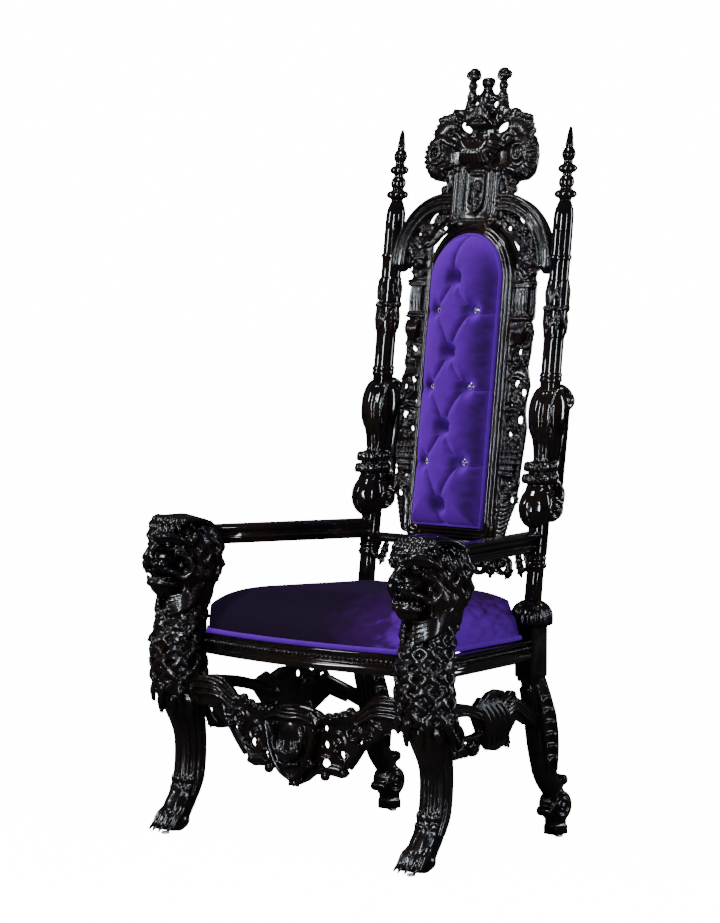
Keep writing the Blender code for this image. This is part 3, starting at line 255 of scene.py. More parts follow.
class Clay:
    """Closed lumps that overlap, placed in millimetres, which are fused into one carving."""

    def __init__(self, sides=10):
        self.sides = sides
        self.points = []
        self.faces = []
        self.count = 0
        self.drills = []

    def lump(self, rings):
        """A closed skin through equal rings, added to the others."""
        points, faces = skin(rings)
        self.points.append(points)
        self.faces += [tuple(index + self.count for index in face) for face in faces]
        self.count += len(points)

    def stroke(self, points, widths, depths=None, normal=(0, 1, 0), samples=None):
        """A limb with an oval section and round ends; widths lie across the normal."""
        depths = widths if depths is None else depths
        samples = samples or max(5, 4 * len(points))
        line = smooth_line(points, samples)
        shares = np.linspace(0, 1, samples)
        wide = np.interp(shares, np.linspace(0, 1, len(widths)), widths)
        deep = np.interp(shares, np.linspace(0, 1, len(depths)), depths)
        along = np.gradient(line, axis=0)
        along /= np.linalg.norm(along, axis=1)[:, None] + 1e-9
        rows = np.array([0, 0, *range(samples), samples - 1, samples - 1])
        reach = np.array([-0.95, -0.7, *[0] * samples, 0.7, 0.95])
        share = np.array([0.3, 0.72, *[1] * samples, 0.72, 0.3])
        tangent = along[rows]
        face = np.asarray(normal, float) - tangent * (tangent @ np.asarray(normal, float))[:, None]
        face /= np.linalg.norm(face, axis=1)[:, None] + 1e-9
        across = np.cross(tangent, face)
        centre = line[rows] + tangent * (reach * np.minimum(wide, deep)[rows])[:, None]
        angles = np.arange(self.sides) * 2 * math.pi / self.sides
        side = across[:, None, :] * (wide[rows] * share)[:, None, None] * np.cos(angles)[None, :, None]
        rise = face[:, None, :] * (deep[rows] * share)[:, None, None] * np.sin(angles)[None, :, None]
        self.lump(centre[:, None, :] + side + rise)

    def strands(self, points, spread, count, widths, depths=None, normal=(0, 1, 0)):
        """Locks side by side along one path, with grooves between them."""
        line = np.asarray(points, float)
        along = line[-1] - line[0]
        across = np.cross(along, np.asarray(normal, float))
        across /= np.linalg.norm(across) + 1e-9
        for strand in range(count):
            shift = (strand - (count - 1) / 2) * spread
            taper = np.linspace(1, 0.55, len(line))[:, None]
            self.stroke(line + across * shift * taper, widths, depths, normal)

    def ball(self, centre, radii):
        """An egg with its axes along X, Y and Z."""
        radii = np.ones(3) * np.asarray(radii, float)
        polar = math.pi * np.arange(1, 9) / 9
        turn = 2 * math.pi * np.arange(self.sides + 2) / (self.sides + 2)
        unit = np.stack([np.outer(np.sin(polar), np.cos(turn)), np.outer(np.sin(polar), np.sin(turn)),
                         np.outer(np.cos(polar), np.ones(len(turn)))], axis=2)
        self.lump(np.asarray(centre, float) + unit * radii)

    def block(self, low, high):
        """A box between two corners."""
        self.lump([[(low[0], low[1], z), (high[0], low[1], z), (high[0], high[1], z), (low[0], high[1], z)]
                   for z in (low[2], high[2])])

    def plate(self, outline, front, back, holes=()):
        """A board in the XZ plane, pierced by ovals given as x, z, half width, half height and turn."""
        loops = [[Vector(point) for point in outline]]
        for x, z, wide, tall, turn in holes:
            around = [(wide * math.cos(step * math.pi / 7),
                       tall * math.sin(step * math.pi / 7)) for step in range(14)]
            c, w = math.cos(turn), math.sin(turn)
            loops.append([Vector((x + a * c - b * w, z + a * w + b * c)) for a, b in around])
        self.drills += loops[1:]
        corners = [corner for loop in loops for corner in loop]
        edges = []
        for loop in loops:
            start = len(edges)
            edges += [(start + step, start + (step + 1) % len(loop)) for step in range(len(loop))]
        flat, _, cells = delaunay_2d_cdt(corners, edges, [], 0, 1e-5)[:3]
        kept = []
        for cell in cells:
            middle = sum((flat[corner] for corner in cell), Vector((0, 0))) / len(cell)
            if sum(encloses(loop, middle) for loop in loops) == 1:
                kept.append(tuple(cell))
        rim = {}
        for cell in kept:
            for step in range(len(cell)):
                edge = (cell[step], cell[(step + 1) % len(cell)])
                rim[frozenset(edge)] = None if frozenset(edge) in rim else edge
        count = len(flat)
        self.points.append(np.array([(x, front, z) for x, z in flat] + [(x, back, z) for x, z in flat]))
        for cell in kept:
            self.faces.append(tuple(corner + self.count for corner in cell))
            self.faces.append(tuple(corner + self.count + count for corner in reversed(cell)))
        for edge in rim.values():
            if edge:
                a, b = edge[0] + self.count, edge[1] + self.count
                self.faces.append((b, a, a + count, b + count))
        self.count += 2 * count

    def drum(self, centre, radius, half_length, axis=0):
        """A short cylinder along X, Y or Z, with a rounded rim."""
        rings = []
        sides = self.sides + 8
        for reach, share in ((-1, 0.8), (-0.85, 1), (0.85, 1), (1, 0.8)):
            ring = []
            for side in range(sides):
                angle = 2 * math.pi * side / sides
                point = [radius * share * math.cos(angle), radius * share * math.sin(angle)]
                point.insert(axis, reach * half_length)
                ring.append(np.asarray(centre, float) + point)
            rings.append(ring)
        self.lump(rings)

    def lathe(self, centre, profile):
        """Turned work from (radius, height) pairs that run upwards."""
        sides = self.sides + 8
        turn = 2 * math.pi * np.arange(sides) / sides
        self.lump([
            np.stack([centre[0] + r * np.cos(turn), centre[1] + r * np.sin(turn), np.full(sides, z)], axis=1)
            for r, z in profile
        ])

    def scroll(self, centre, radius, start, turns, width, depth, plane="xz"):
        """A flat spiral that winds in to a raised eye."""
        steps = 6 + int(9 * abs(turns))
        path = []
        for step in range(steps):
            share = step / (steps - 1)
            angle = start + turns * 2 * math.pi * share
            reach = radius * (1 - 0.74 * share)
            a, c = reach * math.cos(angle), reach * math.sin(angle)
            offset = (a, 0, c) if plane == "xz" else (0, a, c)
            path.append(np.asarray(centre, float) + offset)
        normal = (0, 1, 0) if plane == "xz" else (1, 0, 0)
        self.stroke(path, [width, width * 0.6], [depth, depth * 0.85], normal, samples=3 * steps)
        eye = (width * 0.9, depth * 1.2, width * 0.9) if plane == "xz" else (depth * 1.2, width * 0.9,
                                                                             width * 0.9)
        self.ball(centre, eye)

    def leaf(self, root, tip, width, depth, bend=0.0, lobes=3):
        """An acanthus leaf in the XZ plane: a raised rib with pairs of pointed lobes."""
        root = np.asarray(root, float)
        tip = np.asarray(tip, float)
        run = tip - root
        length = float(np.linalg.norm(run))
        side = np.array([-run[2], 0.0, run[0]]) / length
        middle = (root + tip) / 2 + side * bend * length
        line = smooth_line([root, middle, tip], 2 * lobes + 3)
        self.stroke([root, middle, tip], [width * 0.30, width * 0.34, width * 0.1],
                    [depth * 1.15, depth * 1.2, depth * 0.45])
        for lobe in range(lobes):
            seat = line[2 * lobe + 1]
            reach = width * (1.0 - 0.5 * lobe / lobes)
            for hand in (-1, 1):
                end = seat + side * hand * reach + run / length * width * 0.75
                knee = (seat + end) / 2 + run / length * width * 0.12
                self.stroke([seat, knee, end], [width * 0.2, width * 0.26, width * 0.1],
                            [depth * 0.75, depth * 0.8, depth * 0.4])

    def flower(self, centre, radius, petals, depth):
        """A rosette that faces -Y."""
        for petal in range(petals):
            angle = 2 * math.pi * petal / petals + 0.3
            way = np.array([math.cos(angle), 0, math.sin(angle)])
            middle = np.asarray(centre, float) + way * 0.62 * radius
            self.ball(middle, (radius * 0.4, depth, radius * 0.4))
        self.ball((centre[0], centre[1] - depth * 0.6, centre[2]), (radius * 0.3, depth, radius * 0.3))

    def fused(self, name, grain, material, shape, soften=2):
        """Fuse the lumps into one skin of the given grain, and soften the joins."""
        points = shape(np.vstack(self.points) * MM)
        item = add_object(name, points, self.faces, material)
        melt = item.modifiers.new("Fuse", "REMESH")
        melt.mode = "VOXEL"
        melt.voxel_size = grain
        if self.drills:
            drill = self.drill_bits(shape, material)
            bore = item.modifiers.new("Pierce", "BOOLEAN")
            bore.operation = "DIFFERENCE"
            bore.solver = "EXACT"
            bore.object = drill
        ease = item.modifiers.new("Soften", "SMOOTH")
        ease.factor = 0.5
        ease.iterations = soften
        thin = item.modifiers.new("Thin", "DECIMATE")
        thin.ratio = KEPT_FACES
        settle(item)
        if self.drills:
            bpy.data.objects.remove(drill)
        shade(item)
        return item

    def drill_bits(self, shape, material):
        """Long bars that keep the piercings of the boards open through what lies over them."""
        points = []
        faces = []
        for loop in self.drills:
            start = len(points)
            count = len(loop)
            points += [(x, y, z) for y in (-DRILL_REACH, DRILL_REACH) for x, z in loop]
            faces.append(tuple(range(start, start + count)))
            faces.append(tuple(range(start + 2 * count - 1, start + count - 1, -1)))
            for step in range(count):
                after = (step + 1) % count
                faces.append((start + after, start + step, start + count + step, start + count + after))
        return add_object("drill_bits", shape(np.array(points) * MM), faces, material)


def lion_head(clay):
    """Skull, forelock, brow, nose, open mouth with teeth, cheek curl and mane."""
    clay.ball((0, 28, 686), (58, 72, 64))
    clay.ball((0, -46, 664), (36, 40, 24))
    clay.stroke([(0, -38, 722), (0, -70, 700), (0, -90, 684)], [20, 14, 13], [14, 13, 12])
    clay.ball((0, -94, 675), (18, 12, 12))
    for hand in (-1, 1):
        clay.ball((12 * hand, -94, 671), (9, 8, 8))
        clay.ball((21 * hand, -72, 655), (19, 20, 15))
        clay.stroke([(2 * hand, -88, 660), (22 * hand, -82, 646), (42 * hand, -54, 638),
                     (50 * hand, -32, 622)],
                    [6, 7, 7, 5], [7, 9, 9, 7])
        clay.stroke([(5 * hand, -74, 708), (26 * hand, -68, 722), (50 * hand, -38, 716),
                     (60 * hand, -14, 700)],
                    [7, 9, 9, 7])
        clay.stroke([(10 * hand, -72, 700), (30 * hand, -64, 711), (52 * hand, -36, 704)], [4, 5, 4])
        clay.ball((30 * hand, -60, 699), (11, 8, 7))
        clay.stroke([(22 * hand, -62, 692), (34 * hand, -58, 689), (46 * hand, -42, 694)], [3.5, 4, 3])
        clay.stroke([(46 * hand, -42, 682), (62 * hand, -22, 668), (66 * hand, -14, 642),
                     (56 * hand, -26, 622),
                     (44 * hand, -40, 622)], [5, 8, 9, 8, 5], [7])
        clay.ball((52 * hand, -34, 650), (8, 9, 10))
        clay.ball((62 * hand, 0, 716), (11, 12, 15))
        for tooth in range(5):
            x = (5 + 9 * tooth) * hand
            y = -84 + 1.1 * tooth ** 2
            clay.stroke([(x, y, 641), (x, y - 1, 631)], [3.6, 2.4])
            clay.stroke([(x * 0.95, y + 4, 616), (x * 0.95, y + 3, 625)], [3.4, 2.4])
    clay.stroke([(34, -48, 606), (22, -72, 608), (0, -82, 609), (-22, -72, 608), (-34, -48, 606)], [9], [8])
    clay.ball((0, -44, 604), (32, 34, 11))
    clay.ball((0, -50, 622), (24, 26, 5))
    for tuft in range(5):
        angle = math.radians(-60 + 30 * tuft)
        x, y = 26 * math.sin(angle), -44 - 28 * math.cos(angle)
        clay.stroke([(x, y, 606), (x * 1.05, y + 2, 594), (x * 0.9, y + 12, 580)], [8, 7, 4])
    for row, (height, y, half) in enumerate(((756, -34, 3), (742, -52, 3), (728, -62, 2))):
        for curl in range(-half, half + 1):
            x = curl * 17
            back = 5 * abs(curl)
            clay.stroke([(x + 5, y + back + 8, height - 12), (x - 4, y - 6 + back, height - 6),
                         (x, y - 4 + back, height + 5), (x + 6, y + 10 + back, height + 6),
                         (x + 4, y + 18 + back, height)], [5, 6, 6.5, 6, 5])
    for lock in range(-4, 5):
        x = lock * 14
        clay.stroke([(x, -26, 762 - abs(lock)), (x * 1.04, 8, 764 - 1.6 * abs(lock)),
                     (x * 1.02 + 3, 44, 758 - 2 * abs(lock)), (x, 82, 738 - 2 * abs(lock))],
                    [7, 8, 8, 7], normal=(0, 0, 1))
    for layer in range(4):
        for lock in range(6):
            angle = math.radians(28 + 25 * lock + 11 * (layer % 2))
            for hand in (-1, 1):
                x = hand * (50 + 5 * layer) * math.sin(angle)
                top = 700 + 50 * math.cos(angle)
                back = -12 + 25 * layer
                wave = 4 * (1 if (lock + layer) % 2 else -1)
                clay.strands(
                    [(x * 1.02, back, top + 8), (x * 1.12, back + 10 + wave, top - 10),
                     (x * 1.04, back + 13 - wave, top - 32), (x * 1.06, back + 17 + wave, top - 54)],
                    8, 2, [6, 7, 7, 6], normal=(hand, 0, 0))
    for hand in (-1, 1):
        for lock in range(8):
            y = -20 + 14 * lock
            wave = 3 * (1 if lock % 2 else -1)
            clay.strands(
                [(46 * hand, y, 652), (55 * hand, y * 0.93 + 3 + wave, 626),
                 (50 * hand, y * 0.80 + 5 - wave, 600),
                 (50 * hand, y * 0.62 + 7 + wave, 572), (46 * hand, y * 0.48 + 8, 552)],
                7, 2, [6, 7, 7, 6, 5], normal=(hand, 0, 0))
        for lock in range(5):
            clay.stroke([(50 * hand, 44 - 4 * lock, 612 - 7 * lock),
                         (56 * hand, 16 - 4 * lock, 596 - 9 * lock),
                         (44 * hand, -18 - 3 * lock, 582 - 10 * lock),
                         (20 * hand, -42 - lock, 574 - 11 * lock)],
                        [4, 6, 6, 5], [7])


LEG_AXIS = [(0, -14, 28), (0, -2, 60), (0, 16, 88), (0, 33, 130), (0, 40, 190), (0, 37, 245),
            (0, 20, 300), (0, 7, 350), (0, 2, 400), (0, 2, 480), (0, 20, 540), (0, 34, 590), (0, 30, 640)]


def lion_body(clay):
    """Fur collar, shaggy chest, leafed knee, fluted shin and ringed ankle."""
    clay.stroke(LEG_AXIS, [33, 36, 35, 34, 33, 34, 46, 55, 58, 56, 51, 48, 51], normal=(1, 0, 0), samples=60)
    line = smooth_line(LEG_AXIS, 200)

    def ring(height, radius, angle, lift=0.0):
        """A point at a distance round the leg's axis, and the way out from it."""
        middle = line[np.argmin(abs(line[:, 2] - height))]
        out = np.array([math.cos(angle), math.sin(angle), 0.0])
        return middle + out * radius + (0, 0, lift), out

    for flute in range(14):
        angle = 2 * math.pi * flute / 14
        path = [(math.cos(angle) * radius, y + math.sin(angle) * radius, z)
                for (x, y, z), radius in zip(LEG_AXIS[2:8], (33, 33, 33, 35, 44, 50))]
        clay.stroke(path, [5, 6, 6, 6, 5, 4], normal=(1, 0, 0))
    rows = ((556, 50, 14), (528, 55, 14), (500, 58, 15), (472, 61, 15), (444, 64, 15), (416, 65, 15),
            (388, 65, 14),
            (362, 62, 14))
    for row, (height, radius, count) in enumerate(rows):
        for tuft in range(count):
            angle = 2 * math.pi * (tuft + 0.5 * (row % 2)) / count
            twist = 0.14 * (1 if (row + tuft) % 2 else -1)
            top, out = ring(height, radius - 6, angle - twist, 20)
            belly, out = ring(height, radius + 1, angle + twist, 6)
            heel, out = ring(height, radius + 1, angle - 0.4 * twist, -8)
            tip, out = ring(height, radius - 3, angle + twist, -20)
            clay.strands([top, belly, heel, tip], 8, 2, [5, 6.5, 6, 3.5], normal=tuple(out))
    for height, radius, count in ((560, 52, 6), (523, 58, 7), (471, 64, 8)):
        for nub in range(count):
            angle = 2 * math.pi * nub / count - math.pi / 2
            centre, out = ring(height, radius, angle)
            across = np.array([-out[1], out[0], 0])
            curl = [centre + across * 9 * math.cos(turn) * (1 - turn / 9) + (0, 0,
                                                                             9 * math.sin(turn) * (1 - turn / 9))
                    + out * (2 + turn) for turn in np.linspace(0, 5.5, 8)]
            clay.stroke(curl, [3.5, 4, 4.5], normal=tuple(out))
    for angle in np.linspace(0, 2 * math.pi, 8, endpoint=False) - math.pi / 2:
        for high, reach in ((348, 62), (322, 52)):
            root, out = ring(high + 18, reach - 8, angle)
            middle, out = ring(high, reach + 3, angle)
            tip, out = ring(high - 16, reach + 4, angle, -12)
            clay.stroke([root, middle, tip], [14, 13, 5], [7, 7, 4], normal=tuple(out))
            clay.stroke([root + out * 4, middle + out * 5, tip + out * 2], [4, 4, 2], [5], normal=tuple(out))
            angle += math.pi / 8
    for level, size in ((128, 9), (106, 7)):
        for nub in range(-2, 3):
            angle = -math.pi / 2 + nub * 0.5
            centre, out = ring(level, 35, angle)
            clay.ball(centre, (size * 0.9, size * 0.9, size * 1.3))


def paw(clay):
    """Four clawed toes with knuckles on a low pad."""
    clay.ball((0, -12, 30), (37, 38, 26))
    for toe in range(4):
        x = -28.5 + 19 * toe
        back = 8 * abs(toe - 1.5)
        clay.stroke([(x * 0.75, -4, 72), (x * 0.95, -30 + back, 56), (x * 1.05, -46 + back, 40),
                     (x * 1.1, -58 + back, 22)], [8, 10, 11, 9], normal=(1, 0, 0))
        clay.ball((x * 1.03, -42 + back, 46), (10.5, 11, 10))
        clay.ball((x * 1.1, -60 + back, 20), (9, 9, 9))
        clay.stroke([(x * 1.1, -64 + back, 22), (x * 1.12, -74 + back, 15), (x * 1.12, -78 + back, 9)],
                    [5, 4, 2])


def make_front_legs(lacquer):
    """The lions that are the front legs."""
    clay = Clay()
    lion_head(clay)
    lion_body(clay)
    paw(clay)
    leg = clay.fused("lion_leg_left", LEG_GRAIN, lacquer, lambda points: points + (LEG_X, LEG_Y, 0),
                     soften=1)
    flatten_foot(leg)
    twin = mirrored(leg, "lion_leg_right")
    place(leg, "lacquered_wood", "front_leg_left")
    place(twin, "lacquered_wood", "front_leg_right")


def flatten_foot(item):
    """Press what is below the glide's top up to it."""
    flat = np.empty(len(item.data.vertices) * 3)
    item.data.vertices.foreach_get("co", flat)
    flat[2::3] = np.maximum(flat[2::3], 0.0063)
    item.data.vertices.foreach_set("co", flat)
    item.data.update()


def make_rear_legs(lacquer):
    """Shell dome, square block and cabriole leg with a leafed side and a scroll foot."""
    clay = Clay()
    y0 = 220
    clay.block((-28, y0 - 28, 396), (28, y0 + 28, 524))
    clay.block((-24, y0 - 24, 384), (24, y0 + 24, 402))
    clay.lathe((0, y0 + 2), [(30, 517), (46, 517), (48, 521), (47, 540), (40, 556), (30, 566), (20, 573)])
    for rib in range(18):
        angle = 2 * math.pi * rib / 18
        out = np.array([math.cos(angle), math.sin(angle), 0.0])
        centre = np.array([0, y0 + 2, 0])
        clay.stroke([centre + out * 20 + (0, 0, 573), centre + out * 35 + (0, 0, 564),
                     centre + out * 45 + (0, 0, 547), centre + out * 46 + (0, 0, 523)],
                    [3, 5, 7.5, 7.5], [5], normal=tuple(out))
    axis = [(0, y0, 404), (0, y0 + 12, 370), (0, y0 + 32, 306), (0, y0 + 43, 234),
            (0, y0 + 48, 165), (0, 300, 110), (0, 308, 80)]
    clay.stroke(axis, [27, 37, 44, 43, 35, 27, 30], [27, 28, 28, 27, 24, 24, 27], normal=(1, 0, 0),
                samples=50)
    clay.drum((0, 308, 78), 37, 24)
    clay.drum((0, 274, 66), 12, 24)
    clay.drum((0, 322, 139), 13, 18)
    clay.stroke([(0, 300, 118), (0, 312, 124), (0, 322, 136)], [14, 11, 8], [18], normal=(1, 0, 0))
    clay.block((-20, 286, 8), (20, 330, 30))
    clay.block((-18, 288, 28), (18, 328, 50))
    for hand in (-1, 1):
        clay.scroll((24 * hand, 308, 78), 31, 1.4, 1.6, 5, 5, plane="yz")
        clay.scroll((18 * hand, 322, 139), 10, 1.4, 1.1, 3, 4, plane="yz")
        for offset in (-20, 22):
            clay.stroke([(22 * hand, y0 + 12 + offset * 0.7, 372), (27 * hand, y0 + 30 + offset, 306),
                         (26 * hand, y0 + 42 + offset, 234), (22 * hand, y0 + 48 + offset * 0.8, 168)],
                        [4, 5, 4.5, 3], [6], normal=(1, 0, 0))
        for lobe in range(6):
            z = 344 - 29 * lobe
            y = y0 + 24 + 4.5 * lobe
            for way, reach in ((1, 15), (-1, 13)):
                clay.stroke([(26 * hand, y, z), (29 * hand, y + way * reach * 0.7, z - 3),
                             (27 * hand, y + way * reach, z - 16)], [5, 6, 4], [5, 5, 4], normal=(1, 0, 0))
    for fold in (-1, 0, 1):
        clay.stroke([(12 * fold, y0 - 22, 366), (13 * fold, y0 - 6, 306), (12 * fold, y0 + 5, 230),
                     (8 * fold, y0 + 18, 160)], [5, 6, 5, 3], [5])
    leg = clay.fused("rear_leg_carving_left", LEG_GRAIN, lacquer, lambda points: points + (POST_X, 0, 0),
                     soften=1)
    flatten_foot(leg)
    twin = mirrored(leg, "rear_leg_carving_right")
    place(leg, "lacquered_wood", "rear_leg_left")
    place(twin, "lacquered_wood", "rear_leg_right")


def make_posts(lacquer, carved_lacquer):
    """Turned posts with rings, balls and spikes, and a band of leaves round each."""
    profile = [(21, .5745), (20.5, .640), (21, .650), (24, .652), (26, .656), (26, .661), (23, .664),
               (22, .668),
               (24, .671), (24.5, .676), (22, .680), (24, .684), (24.5, .690), (24.5, 1.090), (27, 1.093),
               (27.5, 1.098), (26, 1.102), (27.5, 1.106), (27, 1.111), (24.5, 1.114), (24.5, 1.196),
               (26.5, 1.199),
               (27, 1.330), (24.5, 1.334), (24.5, 1.380), (27, 1.382), (27.5, 1.386), (27, 1.390),
               (24.5, 1.392),
               (24.5, 1.450), (24, 1.452), (24.5, 1.454), (24, 1.486), (22, 1.500), (17, 1.514), (14, 1.522),
               (16, 1.526), (24, 1.529), (27, 1.534), (27, 1.539), (23, 1.544), (15, 1.547), (14, 1.552),
               (18, 1.558), (19, 1.566), (17, 1.574), (12, 1.580), (12, 1.586), (19, 1.589), (23, 1.594),
               (23, 1.600), (19, 1.605), (12, 1.608), (11, 1.616), (15, 1.622), (17, 1.632), (14, 1.642),
               (9, 1.648), (10.5, 1.653), (9, 1.662), (6.5, 1.682), (3, 1.6965)]
    sides = 40
    turn = 2 * math.pi * np.arange(sides) / sides
    rings = []
    for radius, height in profile:
        ring = np.stack([POST_X + radius * MM * np.cos(turn), radius * MM * np.sin(turn),
                         np.full(sides, height)],
                        axis=1)
        rings.append(lean(ring))
    post = add_object("turned_post_left", *skin(rings), lacquer)
    edge = post.modifiers.new("Round", "BEVEL")
    edge.width = 0.0006
    edge.segments = 2
    edge.limit_method = "ANGLE"
    edge.angle_limit = math.radians(25)
    settle(post)
    shade(post)
    clay = Clay()
    for start in range(3):
        base = 2 * math.pi * start / 3 + 0.5
        for twist, low, high in ((1.0, 1206, 1262), (-1.0, 1206, 1262), (0.9, 1268, 1326)):
            path = []
            for step in range(6):
                share = step / 5
                angle = base + twist * share
                path.append((27 * math.cos(angle), 27 * math.sin(angle), low + (high - low) * share))
            out = (math.cos(base), math.sin(base), 0)
            clay.stroke(path, [2.5, 5, 5.5, 4.5, 2.5], [4], normal=out)
        for drop in range(4):
            angle = base + 0.5 * drop
            clay.ball((28 * math.cos(angle), 28 * math.sin(angle), 1264 + 3 * (drop % 2)), (6, 6, 7))
        for leaf in range(2):
            angle = base + 0.9 * leaf
            out = (math.cos(angle), math.sin(angle), 0)
            clay.stroke([(26 * out[0], 26 * out[1], 1322), (29 * out[0], 29 * out[1], 1304),
                         (28 * out[0], 28 * out[1], 1280)], [3, 7, 3], [3], normal=out)
            clay.stroke([(26 * out[0], 26 * out[1], 1254), (29 * out[0], 29 * out[1], 1232),
                         (26 * out[0], 26 * out[1], 1206)], [3, 7, 3], [3], normal=out)
    clay.lathe((0, 0), [(24, 1200), (25.5, 1204), (25.5, 1324), (24, 1328)])
    carved = clay.fused("post_carving_left", POST_GRAIN, carved_lacquer,
                        lambda points: lean(points + (POST_X, 0, 0)), soften=1)
    for item, name in ((post, "turned_post"), (carved, "post_carving")):
        twin = mirrored(item, name + "_right")
        if name == "turned_post":
            place(item, "lacquered_wood", "back_post_left")
            place(twin, "lacquered_wood", "back_post_right")
        else:
            place(item, "lacquered_wood")
            place(twin, "lacquered_wood")


def make_consoles(lacquer):
    """Scroll brackets: a ribbed dome with a back curl, two nubbed rolls and a bulb with a volute."""
    clay = Clay(12)
    clay.stroke([(0, 4, 312), (0, 0, 280), (0, 2, 238), (0, 6, 205), (0, 8, 160)],
                [27, 32, 30, 24, 20], [30, 40, 38, 28, 24], normal=(0, 1, 0), samples=30)
    for rib in (-1, 0, 1):
        x = rib * 21
        front = -38 + 9 * abs(rib)
        clay.stroke([(x * 0.6, 6, 336), (x * 0.9, front + 12, 324), (x * 1.02, front, 292),
                     (x, front + 1, 246),
                     (x * 0.78, front + 12, 212), (x * 0.62, front + 17, 165)], [11, 14, 15, 14, 11, 9], [7])
    for hand in (-1, 1):
        clay.stroke([(15 * hand, 6, 334), (27 * hand, 6, 308), (30 * hand, 6, 270), (27 * hand, 7, 226),
                     (19 * hand, 10, 168)], [18, 26, 28, 22, 14], [8], normal=(hand, 0, 0))
        clay.stroke([(17 * hand, 52, 290), (18 * hand, 50, 200), (17 * hand, 48, 60)], [5])
        clay.scroll((27 * hand, 46, 302), 15, 2.6, 1.3, 5, 5, plane="yz")
        clay.scroll((34 * hand, 16, 46), 25, 1.9, -1.4, 5.5, 6, plane="yz")
        clay.stroke([(34 * hand, 38, 62), (32 * hand, 40, 90), (28 * hand, 32, 106)], [5, 5, 4], [6],
                    normal=(1, 0, 0))
    clay.drum((0, 46, 302), 20, 28)
    clay.stroke([(0, 6, 334), (0, 28, 336), (0, 48, 324), (0, 62, 306)], [24, 25, 27, 27], [9],
                normal=(0, 0, 1))
    clay.block((-21, 8, 34), (21, 48, 300))
    for rib in (-1, 0, 1):
        clay.stroke([(rib * 13, 50, 288), (rib * 13, 50, 160), (rib * 13, 48, 44)], [5])
    for level, radius in ((150, 43), (122, 46)):
        clay.ball((0, -12, level), (radius - 7, radius, 17))
        for nub in range(18):
            angle = 2 * math.pi * nub / 18
            clay.ball(((radius - 8) * 0.9 * math.cos(angle), -12 + radius * 0.91 * math.sin(angle), level),
                      (6, 6, 13))
    clay.ball((0, -14, 56), (38, 50, 54))
    clay.ball((0, -8, 98), (31, 38, 20))
    clay.drum((0, 16, 46), 28, 34)
    place_at = np.array([POST_X, 0, CONSOLE_BOTTOM])
    item = clay.fused("console_carving_left", GRAIN, lacquer, lambda points: lean(points + place_at),
                      soften=9)
    twin = mirrored(item, "console_carving_right")
    place(item, "lacquered_wood", "scroll_console_left")
    place(twin, "lacquered_wood", "scroll_console_right")


